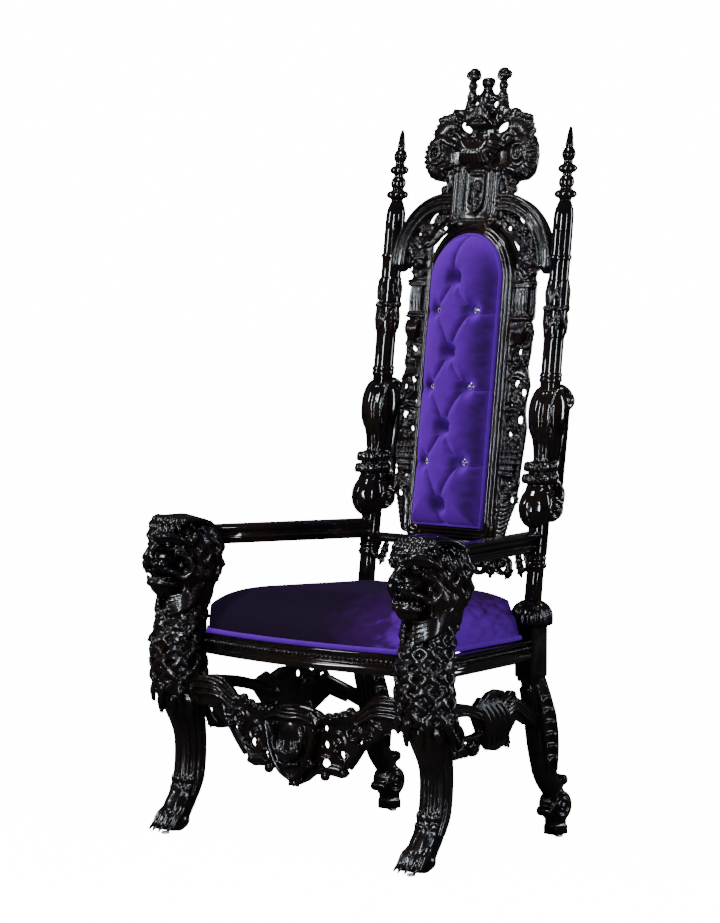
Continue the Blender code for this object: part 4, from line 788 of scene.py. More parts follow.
def make_crest(lacquer):
    """Hood arches, tablet with columns, fluted shell lobes, fans and the crown with twin spires."""
    clay = Clay()
    body = [(0, 40), (76, 40), (78, 62), (78, 122), (92, 137), (112, 143), (150, 148), (170, 162),
            (177, 186), (179, 208),
            (175, 230), (166, 250), (150, 262), (150, 298), (138, 309), (114, 305), (104, 320), (68, 322),
            (60, 350),
            (34, 356), (0, 358)]
    piercings = [(hand * 62, 276, 26, 11, 0.35 * hand) for hand in (-1, 1)]
    piercings += [(hand * 31, 331, 16, 9, 0) for hand in (-1, 1)]
    clay.plate(both_sides(body), -8, 12, piercings)
    for hand in (-1, 1):
        spandrel = [(66, 38), (76, 98), (110, 94), (150, 82), (190, 56), (214, 22), (224, -6), (212, -30),
                    (184, -34),
                    (162, -20), (140, -8), (118, 12), (100, 22), (84, 32)]
        clay.plate([(x * hand, z) for x, z in spandrel], -4, 10,
                   [(148 * hand, 55, 22, 9, -0.7 * hand), (108 * hand, 32, 9, 6, 0),
                    (194 * hand, 16, 13, 7, -0.9 * hand)])
    hood_x, hood_z, hood_r = 92, -54, 150
    hood = []
    for step in range(9):
        angle = math.radians(98 - 100 * step / 8)
        hood.append((hood_x + hood_r * math.cos(angle), 0, hood_z + hood_r * math.sin(angle)))
    for hand in (-1, 1):
        arch = [(x * hand, y, z) for x, y, z in hood]
        clay.stroke(arch, [17, 20], [16, 18], samples=30)
        for edge, size in ((1.115, 5), (0.89, 5), (1.0, 4)):
            rim = [((hood_x + (x - hood_x) * edge) * hand, -14, hood_z + (z - hood_z) * edge) for x, y,
                   z in hood]
            clay.stroke(rim, [size], [7], samples=30)
        clay.flower((158 * hand, -6, 28), 22, 6, 11)
        clay.flower((190 * hand, -6, -6), 20, 6, 11)
        clay.scroll((124 * hand, -2, 54), 20, 0.6, 1.1 * hand, 6, 12)
        clay.scroll((112 * hand, -2, 84), 15, 2.0, 1.0 * hand, 5, 12)
        clay.stroke([(96 * hand, 0, 62), (128 * hand, 0, 40), (160 * hand, 0, 4), (176 * hand, 0, -20)],
                    [9], [12])
        clay.stroke([(182 * hand, 0, 34), (214 * hand, 0, 0), (210 * hand, 0, -30)], [8], [12])
        for lobe in range(4):
            clay.leaf(((118 + 22 * lobe) * hand, -4, 52 - 19 * lobe),
                      ((132 + 24 * lobe) * hand, -8, 34 - 24 * lobe),
                      9, 10, lobes=2)
        clay.stroke([(104 * hand, 0, 120), (92 * hand, 0, 150), (98 * hand, 0, 176)], [9, 8, 10], [13])
        clay.scroll((112 * hand, -2, 128), 15, 1.0, 1.1 * hand, 5, 12)
        clay.drum((66 * hand, -13, 116), 11, 60, axis=2)
        clay.drum((48 * hand, -11, 116), 7, 60, axis=2)
        clay.lathe((66 * hand, -13), [(13, 50), (14, 56), (11, 62), (11, 168), (14, 172), (15, 178),
                                      (12, 182)])
        clay.scroll((60 * hand, -14, 52), 14, math.pi / 2, -1.0 * hand, 6, 12)
        clay.ball((130 * hand, -4, 208), (44, 17, 44))
        clay.scroll((136 * hand, -20, 214), 27, -0.5, 1.4 * hand, 6, 9)
        clay.stroke([(92 * hand, -14, 236), (126 * hand, -16, 250), (160 * hand, -10, 240)], [8, 9, 7], [10])
        clay.stroke([(90 * hand, -14, 184), (112 * hand, -18, 176), (140 * hand, -14, 172)], [7, 8, 6], [10])
        for fold in range(15):
            angle = math.radians(-128 + 16 * fold)
            centre = np.array([132 * hand, 0, 206])
            way = np.array([hand * math.cos(angle), 0, math.sin(angle)])
            clay.stroke([centre + way * 27 + (0, -16, 0), centre + way * 38 + (0, -15, 0),
                         centre + way * 46 + (0, -6, 0)],
                        [3.5, 5, 5.5], [10, 12, 12])
        for barb in range(5):
            clay.leaf(((84 + 17 * barb) * hand, -4, 168), ((80 + 21 * barb) * hand, -8, 146 + 2 * barb), 8,
                      10,
                      lobes=2)
        clay.leaf((124 * hand, 0, 248), (176 * hand, -2, 264), 9, 9, lobes=3)
        clay.leaf((140 * hand, 0, 246), (150 * hand, -2, 276), 7, 8, lobes=2)
        clay.stroke([(60 * hand, 0, 240), (84 * hand, 0, 262), (104 * hand, 0, 258)], [9, 9, 8], [12])
        for rib in range(8):
            angle = math.radians(118 - 15 * rib)
            root = np.array([(102 + 1.5 * rib) * hand, 0, 258])
            tip = root + np.array([hand * 52 * math.cos(angle), 0, 50 * math.sin(angle)])
            clay.stroke([root, (root + tip) / 2 + (0, -4, 0), tip], [4, 5.5, 6.5], [8, 9, 7])
        for curl in range(3):
            clay.scroll(((112 + 17 * curl) * hand, -3, 306 - 4 * curl), 8, 0, 1.0 * hand, 3.5, 9)
        clay.leaf((70 * hand, 0, 300), (106 * hand, -4, 324), 8, 9, lobes=3)
        clay.leaf((66 * hand, -4, 296), (92 * hand, -8, 306), 8, 9, lobes=2)
        clay.lathe((51 * hand, 0), [(15, 296), (16, 306), (13, 316), (15, 326), (11, 334), (11, 344),
                                    (14, 350),
                                    (14, 355), (10, 360), (9, 370), (12, 375), (12, 380), (8, 385),
                                    (8, 398)])
        for bead in range(7):
            clay.ball((51 * hand, -9, 312 + 12 * bead), (4.5, 6, 5))
        clay.scroll((51 * hand, 0, 403), 13, math.pi / 2, 1.3 * hand, 6, 14)
        clay.ball((41 * hand, 0, 401), (10, 14, 12))
        clay.ball((61 * hand, 0, 404), (10, 14, 12))
        clay.stroke([(50 * hand, 0, 336), (30 * hand, -2, 350), (8 * hand, 0, 346)], [6], [9])
        clay.stroke([(58 * hand, 0, 300), (82 * hand, -2, 286), (98 * hand, 0, 268)], [9], [11])
        clay.stroke([(36 * hand, -4, 250), (60 * hand, -6, 238), (84 * hand, -4, 230)], [10], [13])
        clay.stroke([(30 * hand, -8, 292), (14 * hand, -16, 302), (0, -18, 300)], [5], [8])
        for fold in range(3):
            clay.stroke([((8 + 9 * fold) * hand, -20, 330 - 8 * fold),
                         ((14 + 10 * fold) * hand, -22, 306 - 5 * fold),
                         ((22 + 11 * fold) * hand, -16, 288 - 3 * fold)], [4, 5, 4], [8])
        for pleat in range(4):
            x = (5 + 11 * pleat) * hand
            clay.stroke([(x * 0.6, -30, 232), (x, -34, 214), (x * 1.2, -26, 192)], [4, 6, 5], [8])
    clay.block((-56, -6, 46), (56, 13, 182))
    clay.block((-76, -12, 172), (76, 13, 186))
    clay.block((-72, -16, 178), (72, 13, 182))
    clay.block((-70, -10, 40), (70, 13, 54))
    clay.stroke([(-22, -10, 158), (-22, -12, 96), (0, -14, 74), (22, -12, 96), (22, -10, 158)], [4], [7])
    clay.flower((0, -12, 132), 15, 6, 7)
    clay.leaf((0, -10, 116), (0, -12, 66), 15, 10, lobes=3)
    for drop in range(5):
        clay.ball(((-20 + 10 * drop), -12, 164), (5, 6, 5))
    clay.ball((0, -8, 212), (50, 24, 36))
    clay.stroke([(-42, -26, 230), (-20, -32, 218), (0, -34, 214), (20, -32, 218), (42, -26, 230)], [6], [8])
    for bead in range(7):
        clay.ball((-27 + 9 * bead, -24, 246), (5, 7, 5))
    clay.ball((0, -2, 252), (22, 18, 14))
    clay.ball((0, 0, 272), (19, 16, 14))
    clay.stroke([(-50, 0, 292), (0, -8, 286), (50, 0, 292)], [9], [16])
    for pleat in range(13):
        angle = math.radians(195 + 12.5 * pleat)
        way = np.array([math.cos(angle), 0, math.sin(angle)])
        root = np.array([0, -18, 250])
        clay.stroke([root + way * (16, 0, 12), root + way * (44, 0, 30) + (0, -14, 0),
                     root + way * (70, 0, 52) + (0, 6, 0)],
                    [4, 7, 7], [8, 9, 9])
    for pleat in range(9):
        clay.stroke([(-32 + 8 * pleat, -14, 296), (-34 + 8.5 * pleat, -20, 286),
                     (-30 + 7.5 * pleat, -14, 276)],
                    [3.4, 4.2, 3], [6])
    clay.ball((0, -2, 318), (29, 20, 36))
    clay.ball((0, -2, 352), (19, 17, 8))
    clay.lathe((0, 0), [(22, 336), (22, 350), (18, 358), (14, 364), (12, 368), (12, 373), (15, 377),
                        (16, 381),
                        (16, 390), (14, 395), (9, 397)])
    for bead in range(8):
        angle = 2 * math.pi * bead / 8
        clay.ball((13 * math.cos(angle), 13 * math.sin(angle), 386), (4.5, 4.5, 8))
    clay.stroke([(-80, 0, 44), (0, 0, 40), (80, 0, 44)], [12], [15])
    crest = clay.fused("crest_carving", GRAIN, lacquer, lambda points: lean(points + (0, 0, CREST_FOOT_Z)),
                       soften=1)
    place(crest, "lacquered_wood", "crest")


def make_openwork(lacquer):
    """The pierced strips between the frame and the posts."""
    clay = Clay()
    inner = (FRAME_INNER_HALF + FRAME_WIDTH) * 1000
    foot = STRIP_FOOT_Z * 1000
    x = inner + 32
    t = 11
    edge = ((4, 16), (40, 30), (88, 52), (128, 56), (188, 60), (225, 64), (268, 68), (300, 60), (330, 60),
            (368, 68),
            (410, 56), (450, 62), (500, 64), (523, 56), (530, 64), (600, 62), (625, 58), (655, 64),
            (676, 68), (706, 60))
    piercings = [(178, 448, 12, 9), (154, 420, 8, 8), (173, 371, 11, 9), (196, 351, 10, 10),
                 (157, 318, 9, 8),
                 (192, 285, 12, 10), (164, 253, 10, 8), (186, 232, 9, 7), (188, 96, 10, 10),
                 (174, 134, 8, 8)]
    clay.plate([(inner, foot + 4)] + [(inner + out, foot + up) for up, out in edge] + [(inner, foot + 706)],
               -3, 9,
               [(px, foot + up, wide, tall, 0.3) for px, up, wide, tall in piercings])
    clay.stroke([(inner + 1, 0, foot + 30), (inner + 1, 0, foot + 640)], [5], [11], samples=40)
    clay.flower((x + 4, -6, foot + 668), 27, 7, 12)
    clay.flower((x + 4, -12, foot + 668), 13, 5, 8)
    clay.leaf((x + 22, 0, foot + 690), (x + 40, 0, foot + 640), 11, 10, lobes=3)
    clay.leaf((x - 10, 0, foot + 694), (x - 26, 0, foot + 716), 11, 10, lobes=2)
    clay.stroke([(x + 20, 0, foot + 690), (x + 10, 0, foot + 716)], [10], [12])
    clay.stroke([(inner + 8, 0, foot + 640), (x, 0, foot + 622), (x + 22, 0, foot + 634)], [6], [t])
    clay.scroll((x + 16, 0, foot + 630), 12, 0.5, 1.0, 4.5, t)
    for hand in (-1.5, -0.5, 0.5, 1.5):
        clay.stroke([(x + 10 * hand, -4, foot + 532), (x + 11 * hand, -8, foot + 570),
                     (x + 10 * hand, -5, foot + 606)],
                    [4.5, 5.5, 4.5], [10])
    for level, half in ((612, 30), (604, 27), (527, 28), (535, 24)):
        clay.stroke([(inner, -2, foot + level), (x + half, -2, foot + level)], [5], [14])
    clay.ball((x, -6, foot + 494), (23, 14, 25))
    for fold in range(5):
        clay.stroke([(x - 18 + 9 * fold, -12, foot + 516), (x - 16 + 8 * fold, -19, foot + 496),
                     (x - 10 + 5 * fold, -12, foot + 472)], [3.5, 4.5, 3], [7])
    clay.leaf((x + 6, 0, foot + 516), (x + 40, 0, foot + 486), 12, 10, lobes=3)
    clay.leaf((x, 0, foot + 480), (x + 2, -4, foot + 436), 15, 11, lobes=3)
    for height, way in ((430, 1), (352, -1), (274, 1)):
        clay.scroll((x - 4 * way, 0, foot + height), 24, math.pi / 2 * way, 1.3 * way, 6, t)
        clay.leaf((x + 12 * way, -2, foot + height + 22), (x + 26, -4, foot + height - 26), 10, 9, lobes=3)
        clay.leaf((x - 14 * way, -2, foot + height - 14), (x - 22 * way, -4, foot + height - 40), 8, 9,
                  lobes=2)
        clay.stroke([(inner, 0, foot + height + 34), (x, 0, foot + height + 38),
                     (x + 24, 0, foot + height + 30)],
                    [6], [t])
        clay.ball((x + 20 * way, -8, foot + height + 30), (7, 7, 7))
    clay.leaf((x + 10, 0, foot + 386), (x + 38, 0, foot + 372), 10, 9, lobes=2)
    clay.ball((x + 2, -2, foot + 232), (25, 13, 15))
    for petal in range(5):
        clay.leaf((x + 2, -4, foot + 222), (x - 22 + 12 * petal, -8, foot + 250 - abs(petal - 2) * 4), 7, 9,
                  lobes=2)
    for hand in range(-2, 3):
        clay.stroke([(x - 3 + 8 * hand, -4, foot + 152), (x - 3 + 10.5 * hand, -8, foot + 186),
                     (x - 3 + 12 * hand, -5, foot + 216)], [3.6], [11])
    for band in range(5):
        width = 20 + 2.4 * band
        clay.stroke([(x - 3 - width, -10, foot + 154 + 14 * band),
                     (x - 3 + width, -10, foot + 154 + 14 * band)],
                    [3.2], [8])
    clay.scroll((x - 6, 0, foot + 112), 23, 0.4, 1.4, 6, t)
    clay.scroll((x + 16, 0, foot + 132), 12, 2.4, -1.0, 4.5, t)
    clay.leaf((x + 4, 0, foot + 128), (x + 30, 0, foot + 88), 12, 10, lobes=3)
    for barb in range(8):
        z = foot + 8 + 10.5 * barb
        clay.stroke([(inner + 4, 0, z - 4), (inner + 18 + 2 * barb, -3, z),
                     (inner + 30 + 3.4 * barb, 0, z + 9)],
                    [5, 5.5, 2.5], [11, 9, 6])
    clay.stroke([(inner + 9, -3, foot + 6), (inner + 16, -3, foot + 90)], [7, 9], [11])
    strip = clay.fused("openwork_carving_left", STRIP_GRAIN, lacquer, lean, soften=1)
    twin = mirrored(strip, "openwork_carving_right")
    place(strip, "lacquered_wood", "openwork_left")
    place(twin, "lacquered_wood", "openwork_right")


def make_apron(lacquer):
    """The carved cross-piece under the back frame."""
    clay = Clay()
    clay.block((-281, -13, 78), (281, 13, 99))
    clay.block((-281, -15, 84), (281, 13, 92))
    for hand in (-1, 1):
        clay.scroll((178 * hand, 0, 48), 29, math.pi / 2, 1.4 * hand, 7, 13)
        clay.scroll((96 * hand, 0, 44), 29, math.pi / 2, -1.4 * hand, 7, 13)
        clay.leaf((222 * hand, 0, 72), (238 * hand, 0, 20), 14, 11, lobes=3)
        clay.leaf((136 * hand, 0, 72), (136 * hand, 0, 12), 17, 12, lobes=3)
        clay.leaf((204 * hand, 0, 36), (186 * hand, 0, 12), 10, 10, lobes=2)
        clay.stroke([(248 * hand, 0, 76), (258 * hand, 0, 46), (240 * hand, 0, 36)], [7, 6, 4], [11])
        clay.stroke([(60 * hand, 0, 66), (34 * hand, -2, 34), (0, -4, 26)], [9, 8, 8], [13])
        clay.leaf((58 * hand, 0, 70), (48 * hand, 0, 18), 11, 11, lobes=2)
    clay.leaf((0, -4, 74), (0, -6, 2), 22, 14, lobes=4)
    apron = clay.fused("apron_carving", GRAIN, lacquer, lambda points: lean(points + (0, 0, APRON_FOOT)),
                       soften=1)
    place(apron, "lacquered_wood", "back_apron")


def make_front_stretcher(lacquer):
    """The arched apron between the front legs, with a draped cartouche and two drops."""
    clay = Clay()
    z0 = FRONT_STRETCHER_Z
    t = 10
    body = [(0, 157), (32, 170), (58, 188), (80, 190), (110, 192), (150, 188), (166, 200), (200, 238),
            (226, 270),
            (244, 282), (262, 286), (284, 306), (310, 318), (350, 314), (397, 306), (397, 380), (350, 386),
            (320, 390),
            (285, 394), (255, 388), (228, 368), (205, 344), (178, 330), (150, 327), (130, 333), (112, 330),
            (98, 322),
            (70, 338), (40, 345), (0, 347)]
    piercings = [(94, 300, 10, 8, 0.3), (96, 262, 11, 10, 0.2), (96, 219, 20, 11, 0.2),
                 (150, 245, 14, 11, -0.3),
                 (214, 278, 13, 9, 0.5), (170, 210, 11, 8, 0.4), (184, 300, 10, 6, 0.4)]
    clay.plate(both_sides(body), -5, 9, [(x * hand, z, wide, tall, turn * hand) for hand in (-1, 1)
                                         for x, z, wide, tall, turn in piercings])
    for hand in (-1, 1):
        clay.stroke([(397 * hand, 6, z0 - 28), (330 * hand, 2, z0 - 24), (268 * hand, 0, z0 - 26),
                     (214 * hand, 0, z0 - 52)], [27, 25, 20, 17], [13, 13, 12, 12])
        for shift, size in ((18, 4.5), (0, 3.5), (-16, 4.5)):
            clay.stroke([(397 * hand, -7, z0 - 28 + shift), (330 * hand, -11, z0 - 24 + shift * 0.95),
                         (268 * hand, -12, z0 - 26 + shift * 0.8), (212 * hand, -11, z0 - 54 + shift * 0.6)],
                        [size], [6])
        clay.scroll((194 * hand, 0, z0 - 82), 30, math.pi / 2, 1.5 * hand, 8, t + 2)
        clay.leaf((248 * hand, -3, z0 - 54), (230 * hand, -6, z0 - 114), 15, t, lobes=3)
        clay.leaf((246 * hand, -3, z0 - 48), (282 * hand, -5, z0 - 72), 12, t, lobes=2)
        for shift, size in ((0, 9), (13, 4)):
            clay.stroke([((232 - shift) * hand, -2, z0 - 100), ((196 - shift) * hand, -3, z0 - 142),
                         ((158 - shift) * hand, -2, z0 - 184)], [size], [t + size / 4])
        clay.scroll((138 * hand, 0, z0 - 112), 27, -math.pi / 2, 1.3 * hand, 7, t + 1)
        clay.scroll((168 * hand, 0, z0 - 146), 16, 0.4, -1.1 * hand, 5, t + 1)
        clay.stroke([(208 * hand, 0, z0 - 40), (150 * hand, 0, z0 - 62), (96 * hand, -6, z0 - 66)],
                    [10], [t + 1])
        for bump, (x, z) in enumerate(((108, -58), (132, -55), (156, -49), (180, -38))):
            clay.ball((x * hand, -4, z0 + z), (13, 11, 12))
            clay.scroll((x * hand, -13, z0 + z), 8, bump, 1.1 * hand, 2.6, 5)
        clay.stroke([(156 * hand, 0, z0 - 180), (126 * hand, -2, z0 - 178), (96 * hand, -2, z0 - 176)],
                    [11], [t + 1])
        clay.lathe((95 * hand, -4), [(6, z0 - 207), (11, z0 - 202), (12, z0 - 194), (9, z0 - 184),
                                     (13, z0 - 178),
                                     (14, z0 - 168), (10, z0 - 158), (13, z0 - 152), (8, z0 - 144)])
        clay.stroke([(128 * hand, 0, z0 - 136), (112 * hand, 0, z0 - 160)], [9], [t])
        clay.stroke([(66 * hand, -20, z0 - 52), (84 * hand, -20, z0 - 74), (74 * hand, -24, z0 - 112),
                     (62 * hand, -26, z0 - 150), (34 * hand, -24, z0 - 192), (0, -20, z0 - 212)],
                    [8, 9, 8, 8, 7, 6], [12])
        clay.scroll((82 * hand, -20, z0 - 66), 14, 0.3, -1.1 * hand, 5, 9)
        clay.scroll((66 * hand, -22, z0 - 168), 12, 2.2, 1.1 * hand, 4.5, 9)
        clay.stroke([(46 * hand, -34, z0 - 82), (50 * hand, -36, z0 - 112), (40 * hand, -36, z0 - 146),
                     (0, -34, z0 - 172)], [3.5, 4, 4, 3.5], [6])
    shield = [(0, z0 - 42), (62, z0 - 50), (80, z0 - 74), (72, z0 - 112), (60, z0 - 152), (34, z0 - 190),
              (0, z0 - 212)]
    clay.plate(both_sides(shield), -26, -4)
    clay.ball((0, -24, z0 - 116), (40, 12, 44))
    for level, deep in ((58, 4), (70, 6)):
        clay.stroke([(-82, -22, z0 - level - 6), (-40, -31, z0 - level + deep), (0, -34, z0 - level + 4),
                     (40, -31, z0 - level + deep), (82, -22, z0 - level - 6)], [5], [9])
    for size in (34, 23, 12):
        clay.stroke([(-size, -33, z0 - 124), (-size * 0.86, -36, z0 - 146), (0, -37, z0 - 142 - size * 0.8),
                     (size * 0.86, -36, z0 - 146), (size, -33, z0 - 124)], [3.4], [6])
    clay.leaf((0, -18, z0 - 166), (0, -14, z0 - 228), 24, 13, lobes=4)
    for nub in range(-3, 4):
        clay.ball((11 * nub, -36, z0 - 178 + 2 * abs(nub)), (5, 6, 6))
    stretcher = clay.fused("front_stretcher_carving", GRAIN, lacquer,
                           lambda points: points + (0, FRONT_STRETCHER_Y, 0), soften=1)
    place(stretcher, "lacquered_wood", "front_stretcher")


def make_side_stretchers(lacquer):
    """Scrolled stretchers from the front legs to the rear legs, clasped by a leaf."""
    clay = Clay()
    start = np.array([LEG_X, LEG_Y + 0.03, 0])
    run = np.array([POST_X, BLOCK_Y + 0.03, 0]) - start
    length = np.linalg.norm(run) * 1000
    z0 = SIDE_STRETCHER_Z
    clay.stroke([(14, 0, z0 - 24), (90, 0, z0 - 14), (160, 0, z0 - 22), (236, 0, z0 - 50)],
                [18, 16, 14, 15], [13])
    for shift in (11, -2, -13):
        clay.stroke([(14, -11, z0 - 24 + shift), (90, -12, z0 - 14 + shift),
                     (160, -12, z0 - 22 + shift * 0.9),
                     (232, -11, z0 - 48 + shift * 0.8)], [3.5], [5])
    clay.scroll((96, 0, z0 - 84), 34, math.pi / 2, -1.4, 8, 13)
    clay.stroke([(40, 0, z0 - 30), (52, 0, z0 - 80), (76, 0, z0 - 116), (120, 0, z0 - 118)], [10], [13])
    for lobe in range(4):
        clay.leaf((60 + 22 * lobe, -3, z0 - 96 - 4 * lobe), (66 + 26 * lobe, -6, z0 - 128), 10, 11, lobes=2)
    clay.scroll((184, 0, z0 - 104), 24, math.pi, 1.3, 7, 12)
    clay.stroke([(128, 0, z0 - 84), (176, 0, z0 - 86), (236, 0, z0 - 78)], [8], [12])
    clasp = [(170, -24), (196, -8), (216, 4), (228, -4), (252, 10), (290, 15), (326, 8), (344, -4),
             (360, 5), (382, 1),
             (394, -18), (440, -46), (440, -88), (392, -66), (352, -98), (330, -122), (290, -130),
             (250, -124),
             (224, -104), (190, -56)]
    clay.plate([(x, z0 + z) for x, z in clasp], -7, 7, [(304, z0 - 8, 7, 9, 0.3), (340, z0 - 22, 6, 6, 0),
                                                        (371, z0 - 14, 8, 6, 0)])
    for fold in range(5):
        s = 206 + 24 * fold
        clay.stroke([(s - 4, -6, z0 - 16), (s + 12, -13, z0 - 42), (s + 20, -14, z0 - 76),
                     (s + 34, -6, z0 - 112 + 3 * fold)], [8, 12, 12, 6], [9, 12, 12, 7])
        clay.stroke([(s + 2, -14, z0 - 22), (s + 14, -24, z0 - 46), (s + 22, -24, z0 - 78),
                     (s + 34, -12, z0 - 106 + 3 * fold)], [2.4, 3.2, 3, 2], [4])
    clay.stroke([(330, 0, z0 - 34), (372, 0, z0 - 26), (420, 0, z0 - 48), (length - 8, 0, z0 - 96)],
                [17, 16, 17, 20], [13])
    for shift in (11, 2, -8, -17):
        clay.stroke([(336, -11, z0 - 34 + shift), (372, -12, z0 - 26 + shift), (420, -12, z0 - 48 + shift),
                     (length - 10, -11, z0 - 94 + shift * 1.1)], [3], [5])
    clay.leaf((330, 0, z0 - 80), (352, -4, z0 - 130), 16, 11, lobes=3)
    along = run / np.linalg.norm(run)
    across = np.array([-along[1], along[0], 0])
    turn = np.array([along, across, (0, 0, 1)])
    item = clay.fused("side_stretcher_carving_left", GRAIN, lacquer, lambda points: points @ turn + start,
                      soften=1)
    twin = mirrored(item, "side_stretcher_carving_right")
    place(item, "lacquered_wood", "side_stretcher_left")
    place(twin, "lacquered_wood", "side_stretcher_right")


def sweep(name, stations, section, material, closed=False):
    """A moulding: a flat (out, up) section carried past (centre, outward) stations, crisp at its arrises."""
    rings = [
        [np.asarray(centre) + np.asarray(outward) * out + np.array([0, 0, up]) for out, up in section]
        for centre, outward in stations
    ]
    item = add_object(name, *skin(rings, closed_path=closed), material)
    ease = item.modifiers.new("Round", "BEVEL")
    ease.width = 0.0007
    ease.segments = 2
    ease.limit_method = "ANGLE"
    ease.angle_limit = math.radians(28)
    settle(item)
    shade(item)
    return item


def bead_row(name, line, radii, step, material):
    """A row of carved eggs along a line."""
    line = np.asarray(line, float)
    lengths = np.r_[0, np.cumsum(np.linalg.norm(np.diff(line, axis=0), axis=1))]
    count = int(lengths[-1] / step)
    places = np.stack([np.interp((np.arange(count) + 0.5) * lengths[-1] / count, lengths, line[:, axis])
                       for axis in range(3)], axis=1)
    clay = Clay(8)
    for spot in places:
        clay.ball(spot / MM, np.asarray(radii) / MM)
    item = add_object(name, np.vstack(clay.points) * MM, clay.faces, material)
    shade(item)
    return item


def front_bow(x):
    """The front edge of the seat, which bows forward in the middle."""
    return SEAT_FRONT_Y - SEAT_BOW * (1 - (x / LEG_X) ** 2)


def make_rails(lacquer):
    """The seat's moulded rails with their rows of beads."""
    low = RAIL_TOP - RAIL_HEIGHT
    section = [(-.015, RAIL_TOP), (-.015, low), (.008, low), (.013, low + .003), (.0148, low + .008),
               (.0148, low + .012),
               (.013, low + .016), (.0115, low + .018), (.0115, low + .020), (.0130, low + .022),
               (.0130, low + .024),
               (.0095, low + .026), (.0095, low + .0385), (.0125, low + .040), (.015, low + .043),
               (.015, low + .048),
               (.0135, RAIL_TOP)]
    stations = []
    beads = []
    for step in range(33):
        x = 0.372 * (step / 16 - 1)
        slope = 2 * SEAT_BOW * x / LEG_X ** 2
        out = np.array([slope, -1.0, 0.0]) / math.hypot(slope, 1)
        stations.append(((x, front_bow(x), 0), out))
        beads.append(np.array([x, front_bow(x), low + 0.0322]) + out * 0.0095)
    front = sweep("front_rail_moulding", stations, section, lacquer)
    place(front, "lacquered_wood", "seat_rail_front")
    row = bead_row("front_rail_beads", beads, (0.0056, 0.0062, 0.0062), 0.0135, lacquer)
    place(row, "lacquered_wood")
    run = np.array([POST_X - LEG_X, BLOCK_Y - LEG_Y, 0])
    out = np.array([run[1], -run[0], 0]) / np.linalg.norm(run)
    start = np.array([LEG_X, LEG_Y, 0]) + out * 0.006
    side = sweep("side_rail_moulding_left", [(start + run * share, out) for share in (0.11, 0.5, 0.935)],
                 section, lacquer)
    line = [start + run * share + out * 0.0095 + (0, 0, low + 0.0322) for share in (0.13, 0.93)]
    row = bead_row("side_rail_beads_left", line, (0.0062, 0.0056, 0.0062), 0.0135, lacquer)
    twin = mirrored(side, "side_rail_moulding_right")
    row_twin = mirrored(row, "side_rail_beads_right")
    place(side, "lacquered_wood", "seat_rail_left")
    place(twin, "lacquered_wood", "seat_rail_right")
    place(row, "lacquered_wood")
    place(row_twin, "lacquered_wood")


def make_arms(lacquer):
    """Moulded arms with a sunk pointed panel on each side."""
    start = np.array([LEG_X - 0.004, LEG_Y + 0.090, 0])
    end = np.array([POST_X, post_y(ARM_TOP) - 0.018, 0])
    run = end - start
    out = np.array([run[1], -run[0], 0]) / np.linalg.norm(run)
    low = ARM_TOP - 0.047
    half = [(.015, low), (.018, low + .004), (.019, low + .010), (.0215, low + .013), (.0215, low + .016),
            (.0195, low + .018), (.0195, low + .028), (.0215, low + .030), (.0228, low + .034),
            (.0228, low + .040),
            (.020, ARM_TOP - .002), (.014, ARM_TOP)]
    section = half + [(-x, z) for x, z in reversed(half)]
    arm = sweep("arm_moulding_left", [(start + run * share, out) for share in (0, 0.35, 0.7, 1)], section,
                lacquer)
    twin = mirrored(arm, "arm_moulding_right")
    place(arm, "lacquered_wood", "arm_left")
    place(twin, "lacquered_wood", "arm_right")


def arch_loop(half, bottom, depth, arc=40, rungs=24, foot=10):
    """The outline of a round-headed panel, drawn upright at one depth."""
    loop = [(half * (2 * step / foot - 1), depth, bottom) for step in range(foot + 1)]
    loop += [(half, depth, bottom + (FRAME_ARCH_Z - bottom) * step / rungs) for step in range(1, rungs)]
    for step in range(arc + 1):
        angle = math.pi * step / arc
        loop.append((half * math.cos(angle), depth, FRAME_ARCH_Z + half * math.sin(angle)))
    loop += [(-half, depth, bottom + (FRAME_ARCH_Z - bottom) * step / rungs) for step in range(rungs - 1, 0,
                                                                                               -1)]
    return loop


def make_frame(lacquer):
    """The arched moulding round the pad: three reeds, the outer one set back."""
    d = FRAME_DEPTH / 2
    section = [(0.0002, d)]
    for middle, back in ((0.0047, 0), (0.0137, 0), (0.0227, 0.004)):
        for turn in np.linspace(0.1, math.pi - 0.1, 9):
            section.append((middle - 0.0043 * math.cos(turn), -d + back + 0.005 * (1 - math.sin(turn))))
    section += [(0.0285, -d + 0.014), (0.030, -d + 0.018), (0.030, d)]
    rings = [lean(arch_loop(FRAME_INNER_HALF + out, FRAME_BOTTOM - out, depth)) for out, depth in section]
    frame = add_object("frame_moulding", *skin(rings, closed_path=True), lacquer)
    shade(frame)
    place(frame, "lacquered_wood", "back_frame")


def button_places():
    """Where the buttons sit on the upright pad: one, two, one, two down its height."""
    spots = []
    for row, z in enumerate(BUTTON_ROWS):
        for x in ((0.0,) if row % 2 == 0 else (-BUTTON_SPREAD, BUTTON_SPREAD)):
            spots.append((x, z))
    return spots


def pleats():
    """Lines on the pad where the velvet folds in: from button to button, and out to the edges."""
    lines = [((0.0, BUTTON_ROWS[0]), (0.0, FRAME_ARCH_Z + FRAME_INNER_HALF)),
             ((0.0, BUTTON_ROWS[-1]), (0.0, FRAME_BOTTOM))]
    for row in (1, 3, 5):
        for hand in (-1, 1):
            here = (hand * BUTTON_SPREAD, BUTTON_ROWS[row])
            lines.append((here, (hand * FRAME_INNER_HALF, BUTTON_ROWS[row] - 0.004)))
            lines.append((here, (0.0, BUTTON_ROWS[row - 1])))
            lines.append((here, (0.0, BUTTON_ROWS[row + 1])))
    return lines


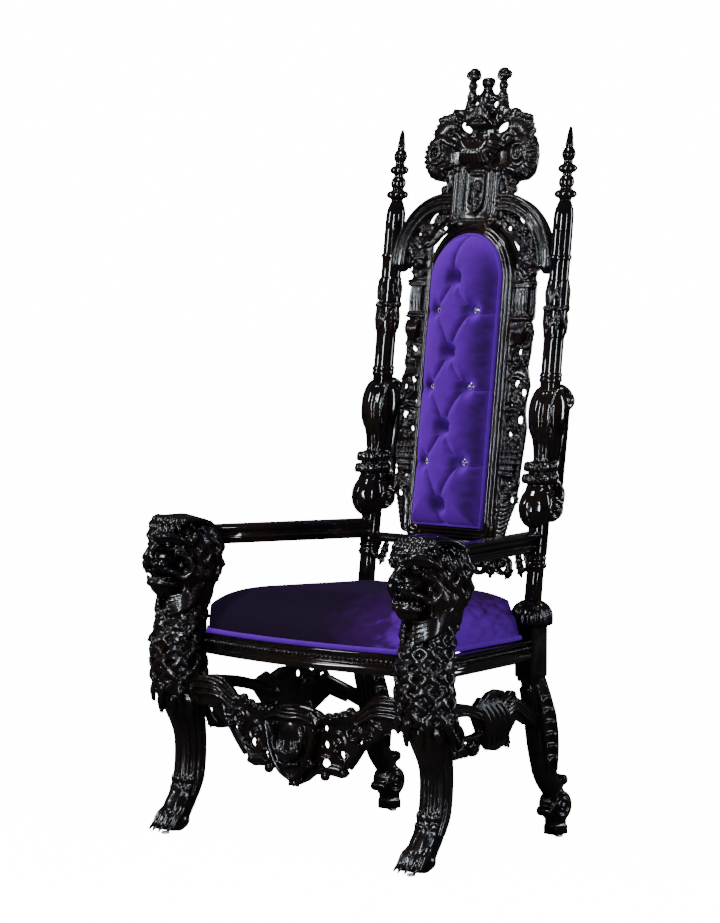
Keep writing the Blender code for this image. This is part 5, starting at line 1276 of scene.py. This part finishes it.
def pad_depth(x, z):
    """How far the pad's velvet stands in front of the frame's face."""
    half = FRAME_INNER_HALF
    over = np.maximum(z - FRAME_ARCH_Z, 0)
    edge = np.minimum(half - np.hypot(x, over), z - FRAME_BOTTOM)
    rise = np.clip((edge - 0.006) / 0.095, 0, 1)
    depth = 0.053 * (1 - (1 - rise) ** 2.3) ** 0.52
    pull = np.zeros_like(x)
    for number, ((x0, z0), (x1, z1)) in enumerate(pleats()):
        run = np.array([x1 - x0, z1 - z0])
        share = np.clip(((x - x0) * run[0] + (z - z0) * run[1]) / (run @ run), 0, 1)
        bow = 0.006 * np.sin(math.pi * share) * (1 if number % 2 else -1)
        off_x, off_z = x - x0 - share * run[0], z - z0 - share * run[1]
        side = (off_x * run[1] - off_z * run[0]) / math.hypot(*run)
        past = np.maximum(off_x ** 2 + off_z ** 2 - side ** 2, 0)
        away = np.sqrt((side - bow) ** 2 + past)
        strength = 0.019 - 0.008 * np.sin(math.pi * share)
        pull = np.maximum(pull, strength * np.exp(-(away / 0.010) ** 0.85))
    for x0, z0 in button_places():
        away = np.maximum(np.hypot(x - x0, (z - z0) * 0.85) - 0.006, 0)
        deep = 0.022 if x0 else 0.036
        pull = np.maximum(pull, deep * np.exp(-(away / 0.010) ** 1.4) + 0.007 * np.exp(-away / 0.035))
    return depth - pull * np.clip(edge / 0.012, 0, 1) ** 0.7


def make_pad(velvet, piping_velvet, lacquer):
    """The tufted velvet pad and the board behind it."""
    columns, rows = 120, 330
    half = FRAME_INNER_HALF - 0.0004
    top = FRAME_ARCH_Z + half
    heights = np.linspace(0, 1, rows)
    z = FRAME_BOTTOM + 0.0006 + (top - 0.0004 - FRAME_BOTTOM) * heights
    over = np.maximum(z - FRAME_ARCH_Z, 0)
    width = np.sqrt(np.maximum(half ** 2 - over ** 2, 1e-7))
    across = np.sin(np.linspace(-math.pi / 2, math.pi / 2, columns) * 0.92) / math.sin(math.pi / 2 * 0.92)
    x = width[:, None] * across[None, :]
    z = np.repeat(z[:, None], columns, axis=1)
    d = -FRAME_DEPTH / 2 - pad_depth(x, z)
    d[:, 0] = d[:, -1] = d[0, :] = d[-1, :] = -FRAME_DEPTH / 2 + 0.006
    points = lean(np.stack([x, d, z], axis=2).reshape(-1, 3))
    faces = []
    for row in range(rows - 1):
        for column in range(columns - 1):
            low = row * columns + column
            faces.append((low, low + 1, low + columns + 1, low + columns))
    rim = [column for column in range(columns)]
    rim += [row * columns + columns - 1 for row in range(1, rows)]
    rim += [(rows - 1) * columns + column for column in range(columns - 2, -1, -1)]
    rim += [row * columns for row in range(rows - 2, 0, -1)]
    back = points[rim].copy()
    back[:, 1] += 0.0053
    start = len(points)
    count = len(rim)
    for step in range(count):
        after = (step + 1) % count
        faces.append((rim[step], start + step, start + after, rim[after]))
    faces.append(tuple(range(start, start + count)))
    pad = add_object("tufted_pad", np.vstack([points, back]), faces, velvet)
    shade(pad)
    place(pad, "velvet", "back_pad")
    rings = []
    for step in range(12):
        turn = 2 * math.pi * step / 12
        inset = 0.0046 + 0.0042 * math.cos(turn)
        rings.append(lean(arch_loop(FRAME_INNER_HALF - inset, FRAME_BOTTOM + inset,
                                    -FRAME_DEPTH / 2 - 0.001 + 0.0046 * math.sin(turn))))
    piping = add_object("pad_piping", *skin(rings, closed_path=True), piping_velvet)
    shade(piping)
    place(piping, "velvet")
    rings = [lean(arch_loop(half - inset, FRAME_BOTTOM + 0.0005 + inset, FRAME_DEPTH / 2 - depth))
             for inset, depth in ((0, 0.008), (0, 0.001), (0.001, 0))]
    board = add_object("backing_board", *skin(rings), lacquer)
    shade(board, False)
    place(board, "lacquered_wood", "back_board")


def make_buttons(crystal, foil):
    """Faceted crystals in their metal cups."""
    for number, (x, z) in enumerate(button_places(), 1):
        depth = -FRAME_DEPTH / 2 - float(pad_depth(np.array([x]), np.array([z]))[0])
        cut = [(0.0060, -1.5), (0.0086, -5.2), (0.0081, -6.4), (0.0046, -9.4)]
        rings = []
        for ring, (radius, lift) in enumerate(cut):
            turn = 2 * math.pi * (np.arange(10) + 0.5 * (ring % 2)) / 10
            rings.append(lean(np.stack([x + radius * np.cos(turn), np.full(10, depth + lift * MM),
                                        z + radius * np.sin(turn)], axis=1)))
        gem = add_object("crystal_%d" % number, *skin(rings), crystal)
        shade(gem, False)
        place(gem, "crystal", "crystal_button_%d" % number)
        turn = 2 * math.pi * np.arange(20) / 20
        cup = [lean(np.stack([x + radius * np.cos(turn), np.full(20, depth + lift * MM),
                              z + radius * np.sin(turn)],
                             axis=1)) for radius, lift in ((0.0060, 1.0), (0.0094, 0.0), (0.0098, -4.4),
                                                           (0.0089, -4.9))]
        setting = add_object("crystal_cup_%d" % number, *skin(cup), foil)
        shade(setting)
        place(setting, "crystal")


def seat_outline(samples=64):
    """The plan of the cushion: a bowed front and sides that run in to the back, round at the corners."""
    front_half = LEG_X - 0.024
    back_half = POST_X - 0.004
    back_y = BLOCK_Y + 0.008
    corner_y = front_bow(front_half) - 0.011
    loop = []
    for step in range(samples):
        x = front_half * (2 * step / samples - 1)
        loop.append((x, front_bow(x) - 0.011))
    for step in range(samples):
        share = step / samples
        loop.append((front_half + (back_half - front_half) * share, corner_y + (back_y - corner_y) * share))
    for step in range(samples):
        loop.append((back_half * (1 - 2 * step / samples), back_y))
    for step in range(samples):
        share = step / samples
        loop.append((-back_half + (back_half - front_half) * share, back_y + (corner_y - back_y) * share))
    return np.array(loop)


def clear_of_legs(points):
    """Push plan points clear of the lions and of the rear blocks."""
    moved = np.array(points, float)
    for x, y, radius in ((LEG_X, LEG_Y - 0.002, LION_CLEARANCE), (POST_X, BLOCK_Y + 0.004, BLOCK_CLEARANCE)):
        for hand in (-1, 1):
            centre = np.array([x * hand, y])
            away = moved[:, :2] - centre
            distance = np.linalg.norm(away, axis=1)
            inside = distance < radius
            moved[inside, :2] = centre + away[inside] / distance[inside, None] * radius
    return moved


def make_cushion(velvet, piping_velvet):
    """The domed seat: steep sides, a full crown and a piped lower edge."""
    outline = seat_outline()
    middle = np.array([0.0, -0.020])
    foot = RAIL_TOP + 0.0006
    rings = []
    shares = 1 - np.linspace(0, 1, 46) ** 1.7
    rings.append(np.c_[middle + (outline - middle) * 0.99, np.full(len(outline), foot)])
    for share in shares[:-1]:
        plan = middle + (outline - middle) * (0.055 + 0.940 * share)
        height = foot + 0.006 + (CUSHION_RISE - 0.008) * (1 - share ** 4.6) ** 0.52
        rings.append(np.c_[plan, np.full(len(outline), height)])
    rings = [clear_of_legs(ring) for ring in rings]
    cushion = add_object("domed_seat", *skin(rings), velvet)
    shade(cushion)
    place(cushion, "velvet", "seat_cushion")
    line = clear_of_legs(np.c_[middle + (outline - middle) * 1.004, np.full(len(outline), foot + 0.0068)])
    turn = 2 * math.pi * np.arange(10) / 10
    along = np.roll(line, -1, axis=0) - np.roll(line, 1, axis=0)
    along /= np.linalg.norm(along, axis=1)[:, None]
    side = np.stack([along[:, 1], -along[:, 0], np.zeros(len(line))], axis=1)
    piping = [centre + out * 0.0055 * np.cos(turn)[:, None] + np.outer(np.sin(turn), (0, 0, 0.0062))
              for centre, out in zip(line, side)]
    welt = add_object("seat_piping", *skin(piping, closed_path=True), piping_velvet)
    shade(welt)
    place(welt, "velvet")


def make_glides(plastic):
    """The small pale glides under the feet."""
    for x, y, corner in ((LEG_X, FRONT_GLIDE_Y, "front_left"), (-LEG_X, FRONT_GLIDE_Y, "front_right"),
                         (POST_X, REAR_GLIDE_Y, "rear_left"), (-POST_X, REAR_GLIDE_Y, "rear_right")):
        turn = 2 * math.pi * np.arange(24) / 24
        rings = [np.stack([x + radius * np.cos(turn), y + radius * np.sin(turn), np.full(24, height)],
                          axis=1)
                 for radius, height in ((.0085, 0), (.0095, .0006), (.010, .002), (.010, .006))]
        item = add_object("foot_glide_" + corner, *skin(rings), plastic)
        shade(item)
        place(item, "glide_plastic", "glide_" + corner)


def lay_scene():
    """A pale floor, soft studio light and the photograph's camera."""
    floor_mesh = bpy.data.meshes.new("floor")
    floor_mesh.from_pydata([(-30, -30, 0), (30, -30, 0), (30, 30, 0), (-30, 30, 0)], [], [(0, 1, 2, 3)])
    floor = bpy.data.objects.new("floor", floor_mesh)
    bpy.context.scene.collection.objects.link(floor)
    pale, pale_shader = new_material("pale_floor", (0.9, 0.9, 0.9), 0.9)
    nodes, links = pale.node_tree.nodes, pale.node_tree.links
    glow = nodes.new("ShaderNodeEmission")
    glow.inputs["Strength"].default_value = 15
    dim = nodes.new("ShaderNodeBsdfDiffuse")
    dim.inputs["Color"].default_value = (0.05, 0.05, 0.05, 1)
    bright = nodes.new("ShaderNodeAddShader")
    ray = nodes.new("ShaderNodeLightPath")
    choose = nodes.new("ShaderNodeMixShader")
    links.new(pale_shader.outputs["BSDF"], bright.inputs[0])
    links.new(glow.outputs["Emission"], bright.inputs[1])
    links.new(ray.outputs["Is Camera Ray"], choose.inputs["Fac"])
    links.new(dim.outputs["BSDF"], choose.inputs[1])
    links.new(bright.outputs["Shader"], choose.inputs[2])
    links.new(choose.outputs["Shader"], nodes["Material Output"].inputs["Surface"])
    floor_mesh.materials.append(pale)
    floor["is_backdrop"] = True
    world = bpy.data.worlds.new("studio")
    bpy.context.scene.world = world
    world.use_nodes = True
    nodes = world.node_tree.nodes
    backdrop = nodes["Background"]
    backdrop.inputs["Color"].default_value = (1, 1, 1, 1)
    backdrop.inputs["Strength"].default_value = 16
    room = nodes.new("ShaderNodeBackground")
    room.inputs["Color"].default_value = (0.85, 0.9, 1, 1)
    room.inputs["Strength"].default_value = 0.06
    seen = nodes.new("ShaderNodeLightPath")
    choose = nodes.new("ShaderNodeMixShader")
    world.node_tree.links.new(seen.outputs["Is Camera Ray"], choose.inputs["Fac"])
    world.node_tree.links.new(room.outputs["Background"], choose.inputs[1])
    world.node_tree.links.new(backdrop.outputs["Background"], choose.inputs[2])
    world.node_tree.links.new(choose.outputs["Shader"], nodes["World Output"].inputs["Surface"])

    def softbox(name, location, target, size, power, colour=(1, 1, 1)):
        """A tall soft lamp that faces its target."""
        lamp = bpy.data.lights.new(name, "AREA")
        lamp.shape = "RECTANGLE"
        lamp.size, lamp.size_y = size
        lamp.energy = power
        lamp.color = colour
        item = bpy.data.objects.new(name, lamp)
        item.location = location
        item.rotation_euler = (Vector(target) - Vector(location)).to_track_quat("-Z", "Y").to_euler()
        bpy.context.scene.collection.objects.link(item)

    softbox("key", (1.4, -3.8, 2.2), (0, 0, 1.0), (0.16, 2.0), 190, (0.82, 0.89, 1.0))
    softbox("side", (4.2, -0.5, 1.5), (0, 0, 1.2), (0.12, 2.6), 95, (0.76, 0.85, 1.0))
    softbox("left", (-2.6, -3.0, 2.6), (0, 0, 0.9), (0.22, 1.4), 90, (0.9, 0.93, 1.0))
    softbox("low", (2.2, -3.6, 0.7), (0, 0.2, 0.9), (0.12, 0.9), 40, (0.80, 0.87, 1.0))
    softbox("rim", (2.6, 3.6, 1.7), (0.3, 0, 0.9), (0.30, 2.2), 80, (0.85, 0.9, 1.0))
    softbox("top", (0.6, -1.0, 4.2), (0, 0, 0.8), (0.5, 0.5), 75, (0.9, 0.95, 1.0))

    camera = bpy.data.cameras.new("photo_camera")
    camera.lens = CAMERA_LENS
    camera.sensor_width = SENSOR_WIDTH
    view = bpy.data.objects.new("photo_camera", camera)
    view.location = CAMERA_PLACE
    view.rotation_euler = [math.radians(turn) for turn in CAMERA_TURN]
    bpy.context.scene.collection.objects.link(view)
    bpy.context.scene.camera = view


def new_material(name, colour, roughness):
    """A material and its shader, with plain starting values."""
    material = bpy.data.materials.new(name)
    material.use_nodes = True
    shader = material.node_tree.nodes["Principled BSDF"]
    shader.inputs["Base Color"].default_value = (*colour, 1)
    shader.inputs["Roughness"].default_value = roughness
    return material, shader


def add_noise(material, scale, detail=2.0, stretch=(1, 1, 1)):
    """Noise in the object's own coordinates."""
    nodes = material.node_tree.nodes
    where = nodes.new("ShaderNodeTexCoord")
    mapping = nodes.new("ShaderNodeMapping")
    mapping.inputs["Scale"].default_value = stretch
    noise = nodes.new("ShaderNodeTexNoise")
    noise.inputs["Scale"].default_value = scale
    noise.inputs["Detail"].default_value = detail
    material.node_tree.links.new(where.outputs["Object"], mapping.inputs["Vector"])
    material.node_tree.links.new(mapping.outputs["Vector"], noise.inputs["Vector"])
    return noise


def add_ramp(material, source, stops):
    """Colours for a value, from (place, colour) stops."""
    ramp = material.node_tree.nodes.new("ShaderNodeValToRGB")
    while len(ramp.color_ramp.elements) < len(stops):
        ramp.color_ramp.elements.new(0.5)
    for element, (position, colour) in zip(ramp.color_ramp.elements, stops):
        element.position = position
        element.color = (*colour, 1)
    material.node_tree.links.new(source, ramp.inputs["Fac"])
    return ramp


def add_bump(material, shader, source, strength, distance, below=None):
    """Relief on the shader from a value, over any relief below it."""
    bump = material.node_tree.nodes.new("ShaderNodeBump")
    bump.inputs["Strength"].default_value = strength
    bump.inputs["Distance"].default_value = distance
    material.node_tree.links.new(source, bump.inputs["Height"])
    if below is not None:
        material.node_tree.links.new(below.outputs["Normal"], bump.inputs["Normal"])
    material.node_tree.links.new(bump.outputs["Normal"], shader.inputs["Normal"])
    return bump


def lacquer_material(name="black_lacquer", carved=True):
    """Black gloss with a faint brown cast, hand-rubbed unevenness and, on carving, tool marks."""
    material, shader = new_material(name, (0.006, 0.005, 0.005), 0.14)
    links = material.node_tree.links
    shader.inputs["Coat Weight"].default_value = 0.08 if carved else 0.3
    shader.inputs["Coat Roughness"].default_value = 0.05
    shader.inputs["Specular IOR Level"].default_value = 0.35
    cast = add_noise(material, 9, 3)
    tone = add_ramp(material, cast.outputs["Fac"],
                    ((0.35, (0.002, 0.0015, 0.0018)), (0.65, (0.0075, 0.004, 0.0027))))
    links.new(tone.outputs["Color"], shader.inputs["Base Color"])
    worn = add_ramp(material, add_noise(material, 40, 3).outputs["Fac"],
                    ((0.3, (0.14 if carved else 0.05,) * 3), (0.7, (0.26 if carved else 0.1,) * 3)))
    links.new(worn.outputs["Color"], shader.inputs["Roughness"])
    wave = add_bump(material, shader, add_noise(material, 45, 2).outputs["Fac"], 0.06 if carved else 0.02,
                    0.002)
    if carved:
        add_bump(material, shader, add_noise(material, 240, 2).outputs["Fac"], 0.10, 0.0012, wave)
    return material


def velvet_material(name, stops, sheen, across=None):
    """Velvet with painted sheen: its colour is darker face on and brighter where the surface turns away from the
    view; or, given a direction, painted side light that brightens along it.
    """
    material, shader = new_material(name, stops[0][1], 0.85)
    nodes, links = material.node_tree.nodes, material.node_tree.links
    nap = add_noise(material, 30, 7, (1, 1, 1.6))
    if across is None:
        # Painted sheen: the colour lightens where the surface turns away from the view
        painted_light_fac = nodes.new("ShaderNodeLayerWeight")
        painted_light_fac.inputs["Blend"].default_value = 0.5
        painted_light_fac = painted_light_fac.outputs["Facing"]
    else:
        # Painted side light: the colour lightens along the given direction in the object's own coordinates
        where = nodes.new("ShaderNodeTexCoord")
        along = nodes.new("ShaderNodeVectorMath")
        along.operation = "DOT_PRODUCT"
        along.inputs[1].default_value = across
        links.new(where.outputs["Object"], along.inputs[0])
        painted_light_fac = along.outputs["Value"]
    mixed = nodes.new("ShaderNodeMath")
    mixed.operation = "MULTIPLY_ADD"
    mixed.inputs[1].default_value = 0.20
    links.new(nap.outputs["Fac"], mixed.inputs[0])
    links.new(painted_light_fac, mixed.inputs[2])
    # The ramp paints this sheen or side light into the base colour, with random nap noise on top
    tone = add_ramp(material, mixed.outputs["Value"], stops)
    links.new(tone.outputs["Color"], shader.inputs["Base Color"])
    shader.inputs["Sheen Weight"].default_value = sheen
    shader.inputs["Sheen Roughness"].default_value = 0.30
    shader.inputs["Sheen Tint"].default_value = (0.45, 0.12, 0.95, 1)
    shader.inputs["Specular IOR Level"].default_value = 0.12
    pile = add_noise(material, 900, 2)
    add_bump(material, shader, pile.outputs["Fac"], 0.35, 0.0006)
    return material


def crystal_material():
    """Clear cut crystal."""
    material, shader = new_material("clear_crystal", (1, 1, 1), 0.0)
    shader.inputs["Transmission Weight"].default_value = 1.0
    shader.inputs["IOR"].default_value = 1.55
    return material


def foil_material():
    """Bright metal with a fine grain, for the cups."""
    material, shader = new_material("silver_foil", (0.85, 0.87, 0.9), 0.15)
    shader.inputs["Metallic"].default_value = 1.0
    add_bump(material, shader, add_noise(material, 700).outputs["Fac"], 0.2, 0.0005)
    return material


def plastic_material():
    """Pale matt plastic."""
    material, shader = new_material("pale_plastic", (0.62, 0.62, 0.58), 0.4)
    add_bump(material, shader, add_noise(material, 500).outputs["Fac"], 0.2, 0.0005)
    return material


def main():
    """Build every piece, and return the bounds of the frame's own solids."""
    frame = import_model()
    cad_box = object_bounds()
    lacquer = lacquer_material()
    smooth_lacquer = lacquer_material("black_lacquer_moulding", False)
    # The pad and piping velvets carry painted sheen in their colour
    velvet = velvet_material("purple_velvet", PAD_PAINTED_SHEEN, 0.25)
    piping_velvet = velvet_material("purple_velvet_piping", PIPING_PAINTED_SHEEN, 0.25)
    # The seat velvet carries painted side light, brighter towards +X, the sitter's left
    seat_velvet = velvet_material("purple_seat_velvet_painted_light", SEAT_PAINTED_SIDE_LIGHT, 0.03, (1.0, 0.0, 0.0))
    lay_scene()
    make_front_legs(lacquer)
    make_rear_legs(lacquer)
    make_posts(smooth_lacquer, lacquer)
    make_consoles(smooth_lacquer)
    make_crest(lacquer)
    make_openwork(lacquer)
    make_apron(lacquer)
    make_front_stretcher(lacquer)
    make_side_stretchers(lacquer)
    make_rails(smooth_lacquer)
    make_arms(smooth_lacquer)
    make_frame(smooth_lacquer)
    make_pad(velvet, piping_velvet, lacquer)
    make_buttons(crystal_material(), foil_material())
    make_cushion(seat_velvet, piping_velvet)
    make_glides(plastic_material())
    rail = frame["nodes"]["seat_rail_back"]
    rail.data.materials.clear()
    rail.data.materials.append(lacquer)
    return cad_box


cad_box = main()
